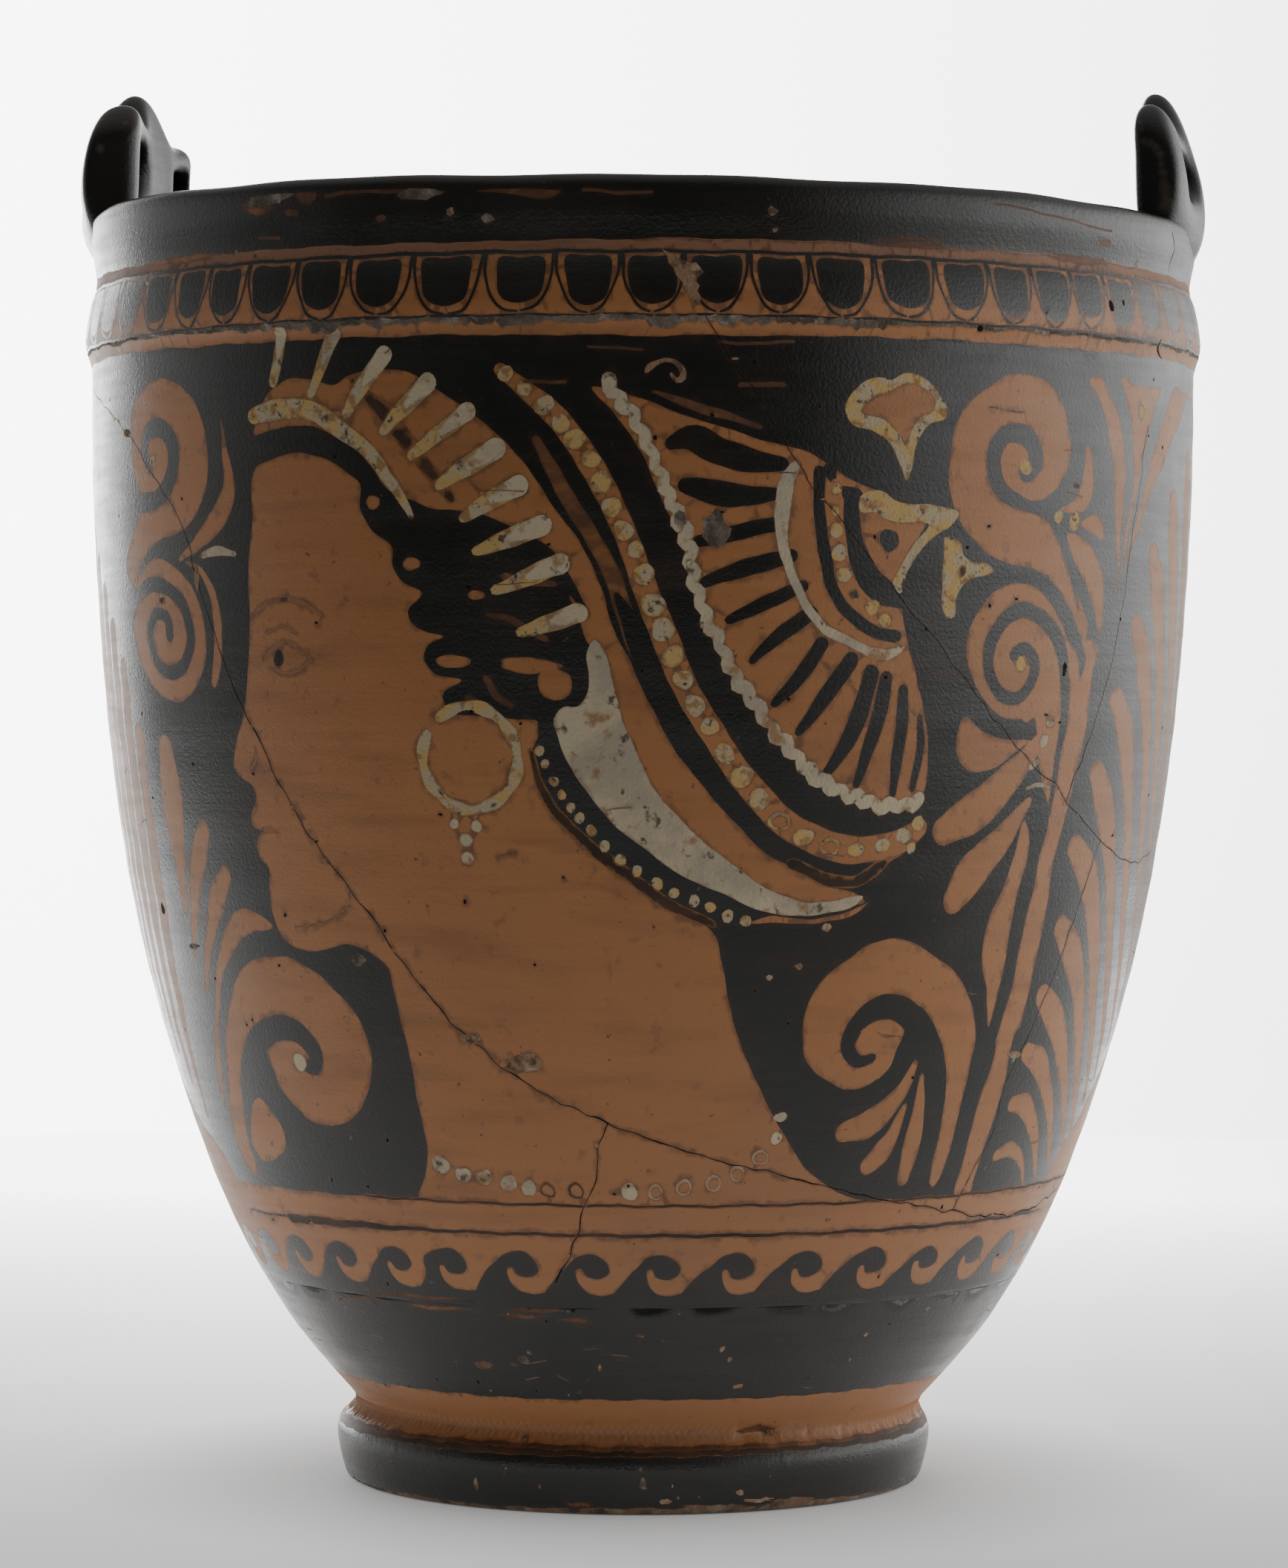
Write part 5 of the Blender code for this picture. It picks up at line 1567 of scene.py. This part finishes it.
class OBJECT_OT_situla_vessel(bpy.types.Operator):
    """Turn the vessel and lay its painting on the wall"""

    bl_idname = "object.situla_vessel"
    bl_label = "Vessel"

    def execute(self, context):
        flat, triangles, finish, fringe = paint_sheet(paint_wall())
        mesh = bpy.data.meshes.new("vessel")
        mesh.from_pydata(wrapped(flat).tolist(), [], triangles.tolist())
        vessel = bpy.data.objects.new("vessel", mesh)
        context.scene.collection.objects.link(vessel)
        for material in make_finishes(context.scene.situla_look):
            mesh.materials.append(material)
        mesh.polygons.foreach_set("material_index", finish)
        mesh.attributes.new("fringe", "FLOAT", "POINT").data.foreach_set("value", fringe.astype(float))
        turned = [spun("inside", inner_profile()), spun("underside", under_profile())]
        for form in turned:
            for key in ("black", "inner"):
                form.data.materials.append(mesh.materials[FINISHES.index(key)])
        for face in turned[0].data.polygons:
            face.material_index = int(face.center.z < RIM_HEIGHT - 2 * LIP_ROUNDING)
        deselect()
        for form in turned + [vessel]:
            form.select_set(True)
        context.view_layer.objects.active = vessel
        bpy.ops.object.join()
        edit(vessel)
        bpy.ops.mesh.normals_make_consistent(inside=False)
        bpy.ops.mesh.select_mode(type="VERT")
        bpy.ops.mesh.select_all(action="DESELECT")
        bpy.ops.mesh.select_non_manifold()
        bpy.ops.mesh.remove_doubles(threshold=0.000004)
        bpy.ops.mesh.select_all(action="SELECT")
        bpy.ops.mesh.normals_make_consistent(inside=False)
        bpy.ops.mesh.select_all(action="DESELECT")
        bpy.ops.mesh.select_non_manifold()
        leave()
        open_ends = sum(vertex.select for vertex in mesh.vertices)
        if open_ends:
            raise RuntimeError(f"the vessel's surface is open at {open_ends} vertices")
        places = np.empty(len(mesh.vertices) * 3)
        mesh.vertices.foreach_get("co", places)
        mesh.vertices.foreach_set("co", uneven(places.reshape(-1, 3)).ravel())
        mesh.polygons.foreach_set("use_smooth", [True] * len(mesh.polygons))
        mesh.update()
        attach(vessel, "root")
        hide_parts("situla")
        return {"FINISHED"}


class OBJECT_OT_situla_lugs(bpy.types.Operator):
    """Model the two double-loop lugs on the rim"""

    bl_idname = "object.situla_lugs"
    bl_label = "Lugs"

    def execute(self, context):
        form = context.scene.situla_form
        for name, post in (("lug_right", form.right_post), ("lug_left", form.left_post)):
            lug = lug_cage(form, post, LUGS[name])
            lug.name = lug.data.name = name
            smooth = lug.modifiers.new("smooth", "SUBSURF")
            smooth.levels = smooth.render_levels = 3
            bpy.ops.object.modifier_apply(modifier=smooth.name)
            lug.data.materials.append(bpy.data.materials["black_gloss_slip"])
            bpy.ops.object.shade_smooth()
            shares = [rubbed_share(vertex.co, LUGS[name]["rubbed"]) for vertex in lug.data.vertices]
            lug.data.attributes.new("rubbed", "FLOAT", "POINT").data.foreach_set("value", shares)
            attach(lug, "root")
            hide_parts("situla")
        return {"FINISHED"}


# The floor's glow, which is painted light, by metres from the middle: its growth towards the back, what is taken off
# it, and its limits;
# then where it fades to the right and to the front as painted shade, and the painted shadow close under the foot, each
# from, to, and the shares there
FLOOR_GROWTH = 16.4
FLOOR_TAKEN = 0.3
FLOOR_LEAST = 0.25
FLOOR_MOST = 6.0
RIGHT_FADE = (-0.02, 0.26, 1.0, 0.55)
FRONT_FADE = (-0.36, -0.13, 0.25, 1.0)
FOOT_PAINTED_SHADOW = (0.050, 0.120, 0.25, 1.0)
# The room by height of the direction, and the backdrop by its direction across and up
OVERHEAD_FADE = (0.05, 0.5, 1.0)
BELOW_FADE = (-0.14, 0.02, 0.5, 1.0)
CEILING_START = 0.35
BACKDROP_ACROSS = (-0.2, 0.13, 1.25, 0.56)
BACKDROP_FOOT = (-0.08, 0.04, 0.9, 1.0)
BACK_FILL = 0.8
FLOOR_SIDES = 96
SENSOR_HEIGHT = 36.0


class OBJECT_OT_situla_stage(bpy.types.Operator):
    """Lay the floor, light it softly and set the camera"""

    bl_idname = "object.situla_stage"
    bl_label = "Stage"

    def execute(self, context):
        stage = context.scene.situla_stage
        self.lay_floor(stage)
        self.light_room(context.scene, stage)
        self.set_camera(context.scene, stage)
        return {"FINISHED"}

    def lay_floor(self, stage):
        """A round floor of pale paper whose glow is painted light, brighter towards the back, with painted shade to the
        right and front and a painted shadow close under the foot.
        """
        deselect()
        bpy.ops.mesh.primitive_circle_add(vertices=FLOOR_SIDES, radius=stage.floor_size, fill_type="NGON")
        floor = bpy.context.object
        floor.name = "floor"
        paper = bpy.data.materials.new("pale_floor")
        paper.use_nodes = True
        tree = paper.node_tree
        shader = tree.nodes["Principled BSDF"]
        shader.inputs["Base Color"].default_value = (0.86, 0.86, 0.86, 1)
        shader.inputs["Roughness"].default_value = 0.75
        shader.inputs["Emission Color"].default_value = (1, 1, 1, 1)
        coordinates = tree.nodes.new("ShaderNodeTexCoord").outputs["Object"]
        spot = tree.nodes.new("ShaderNodeSeparateXYZ")
        away = tree.nodes.new("ShaderNodeVectorMath")
        away.operation = "LENGTH"
        for node in (spot, away):
            tree.links.new(coordinates, node.inputs[0])
        glow = maths(tree, "MULTIPLY", maths(tree, "POWER", FLOOR_GROWTH, spot.outputs["Y"]), stage.floor_glow)
        glow = maths(tree, "MAXIMUM", maths(tree, "ADD", glow, -FLOOR_TAKEN), FLOOR_LEAST)
        # Painted shade on the floor's glow: it fades to the right and to the front, and a painted shadow darkens it
        # close under the foot.
        fades = (
            ramp(tree, spot.outputs["X"], *RIGHT_FADE), ramp(tree, spot.outputs["Y"], *FRONT_FADE),
            ramp(tree, away.outputs["Value"], *FOOT_PAINTED_SHADOW),
        )
        glow = maths(tree, "MULTIPLY", maths(tree, "MINIMUM", glow, FLOOR_MOST), *fades)
        tree.links.new(glow, shader.inputs["Emission Strength"])
        floor.data.materials.append(paper)

    def light_room(self, scene, stage):
        """A white room, bright behind the vessel and dim in front of it."""
        world = bpy.data.worlds.new("white_room")
        scene.world = world
        world.use_nodes = True
        tree = world.node_tree
        direction = tree.nodes.new("ShaderNodeTexCoord").outputs["Generated"]
        split = tree.nodes.new("ShaderNodeSeparateXYZ")
        tree.links.new(direction, split.inputs["Vector"])
        around = stage.front_light
        for aim, start, power, light in (
            ((0.97, 0.24, 0), 0.35, 1.5, stage.right_light), ((-0.80, 0.60, 0), 0.25, 1.5, stage.left_light),
            ((-0.36, 0.93, 0), 0.82, 2.0, stage.back_light), ((0.30, 0.95, 0), 0.60, 1.5, BACK_FILL),
        ):
            facing = tree.nodes.new("ShaderNodeVectorMath")
            facing.operation = "DOT_PRODUCT"
            facing.inputs[1].default_value = aim
            tree.links.new(direction, facing.inputs[0])
            glow = maths(tree, "POWER", ramp(tree, facing.outputs["Value"], start, 1.0), power)
            around = maths(tree, "ADD", maths(tree, "MULTIPLY", glow, light), around)
        up = split.outputs["Z"]
        overhead, below = ramp(tree, up, *OVERHEAD_FADE, stage.top_share), ramp(tree, up, *BELOW_FADE)
        ceiling = ramp(tree, up, CEILING_START, 1.0, 0.0, stage.ceiling_light)
        lit = maths(tree, "ADD", maths(tree, "MULTIPLY", around, overhead, below), ceiling)
        seen = tree.nodes.new("ShaderNodeLightPath").outputs["Is Camera Ray"]
        across, foot = ramp(tree, split.outputs["X"], *BACKDROP_ACROSS), ramp(tree, up, *BACKDROP_FOOT)
        screen = maths(tree, "MULTIPLY", seen, across, stage.screen_light, foot)
        backdrop = tree.nodes["Background"]
        tree.links.new(maths(tree, "MAXIMUM", lit, screen), backdrop.inputs["Strength"])
        backdrop.inputs["Color"].default_value = (1.0, 1.0, 1.0, 1.0)

    def set_camera(self, scene, stage):
        lens = bpy.data.cameras.new("camera")
        lens.sensor_fit = "VERTICAL"
        lens.sensor_height = SENSOR_HEIGHT
        lens.lens = stage.lens
        lens.clip_start = 0.05
        camera = bpy.data.objects.new("camera", lens)
        scene.collection.objects.link(camera)
        place = Matrix.Translation((stage.aside, -stage.distance, stage.height))
        aim = Matrix.Rotation(math.pi / 2 - stage.pitch, 4, "X") @ Matrix.Rotation(stage.roll, 4, "Z")
        camera.matrix_world = Matrix.Rotation(CAMERA_TURN, 4, "Z") @ place @ aim
        scene.camera = camera


class VIEW3D_PT_situla(bpy.types.Panel):
    """Lists the situla's pieces and their settings"""

    bl_label = "Painted Situla"
    bl_idname = "VIEW3D_PT_situla"
    bl_space_type = "VIEW_3D"
    bl_region_type = "UI"
    bl_category = "Situla"

    def draw(self, context):
        column = self.layout.column()
        for operator in OPERATORS:
            column.operator(operator.bl_idname)
        for name in ("situla_form", "situla_look", "situla_stage"):
            group = getattr(context.scene, name)
            box = column.box()
            for key in group.bl_rna.properties.keys():
                if key not in ("rna_type", "name"):
                    box.prop(group, key)


OPERATORS = (OBJECT_OT_situla_vessel, OBJECT_OT_situla_lugs, OBJECT_OT_situla_stage)
GROUPS = {"situla_form": SitulaForm, "situla_look": SitulaLook, "situla_stage": SitulaStage}
CLASSES = (*GROUPS.values(), *OPERATORS, VIEW3D_PT_situla)


def register():
    for cls in CLASSES:
        bpy.utils.register_class(cls)
    for name, group in GROUPS.items():
        setattr(bpy.types.Scene, name, bpy.props.PointerProperty(type=group))


def unregister():
    for name in GROUPS:
        delattr(bpy.types.Scene, name)
    for cls in reversed(CLASSES):
        bpy.utils.unregister_class(cls)


def main():
    register()
    bpy.ops.object.situla_stage()
    bpy.ops.object.situla_vessel()
    bpy.ops.object.situla_lugs()


if __name__ == "__main__":
    main()
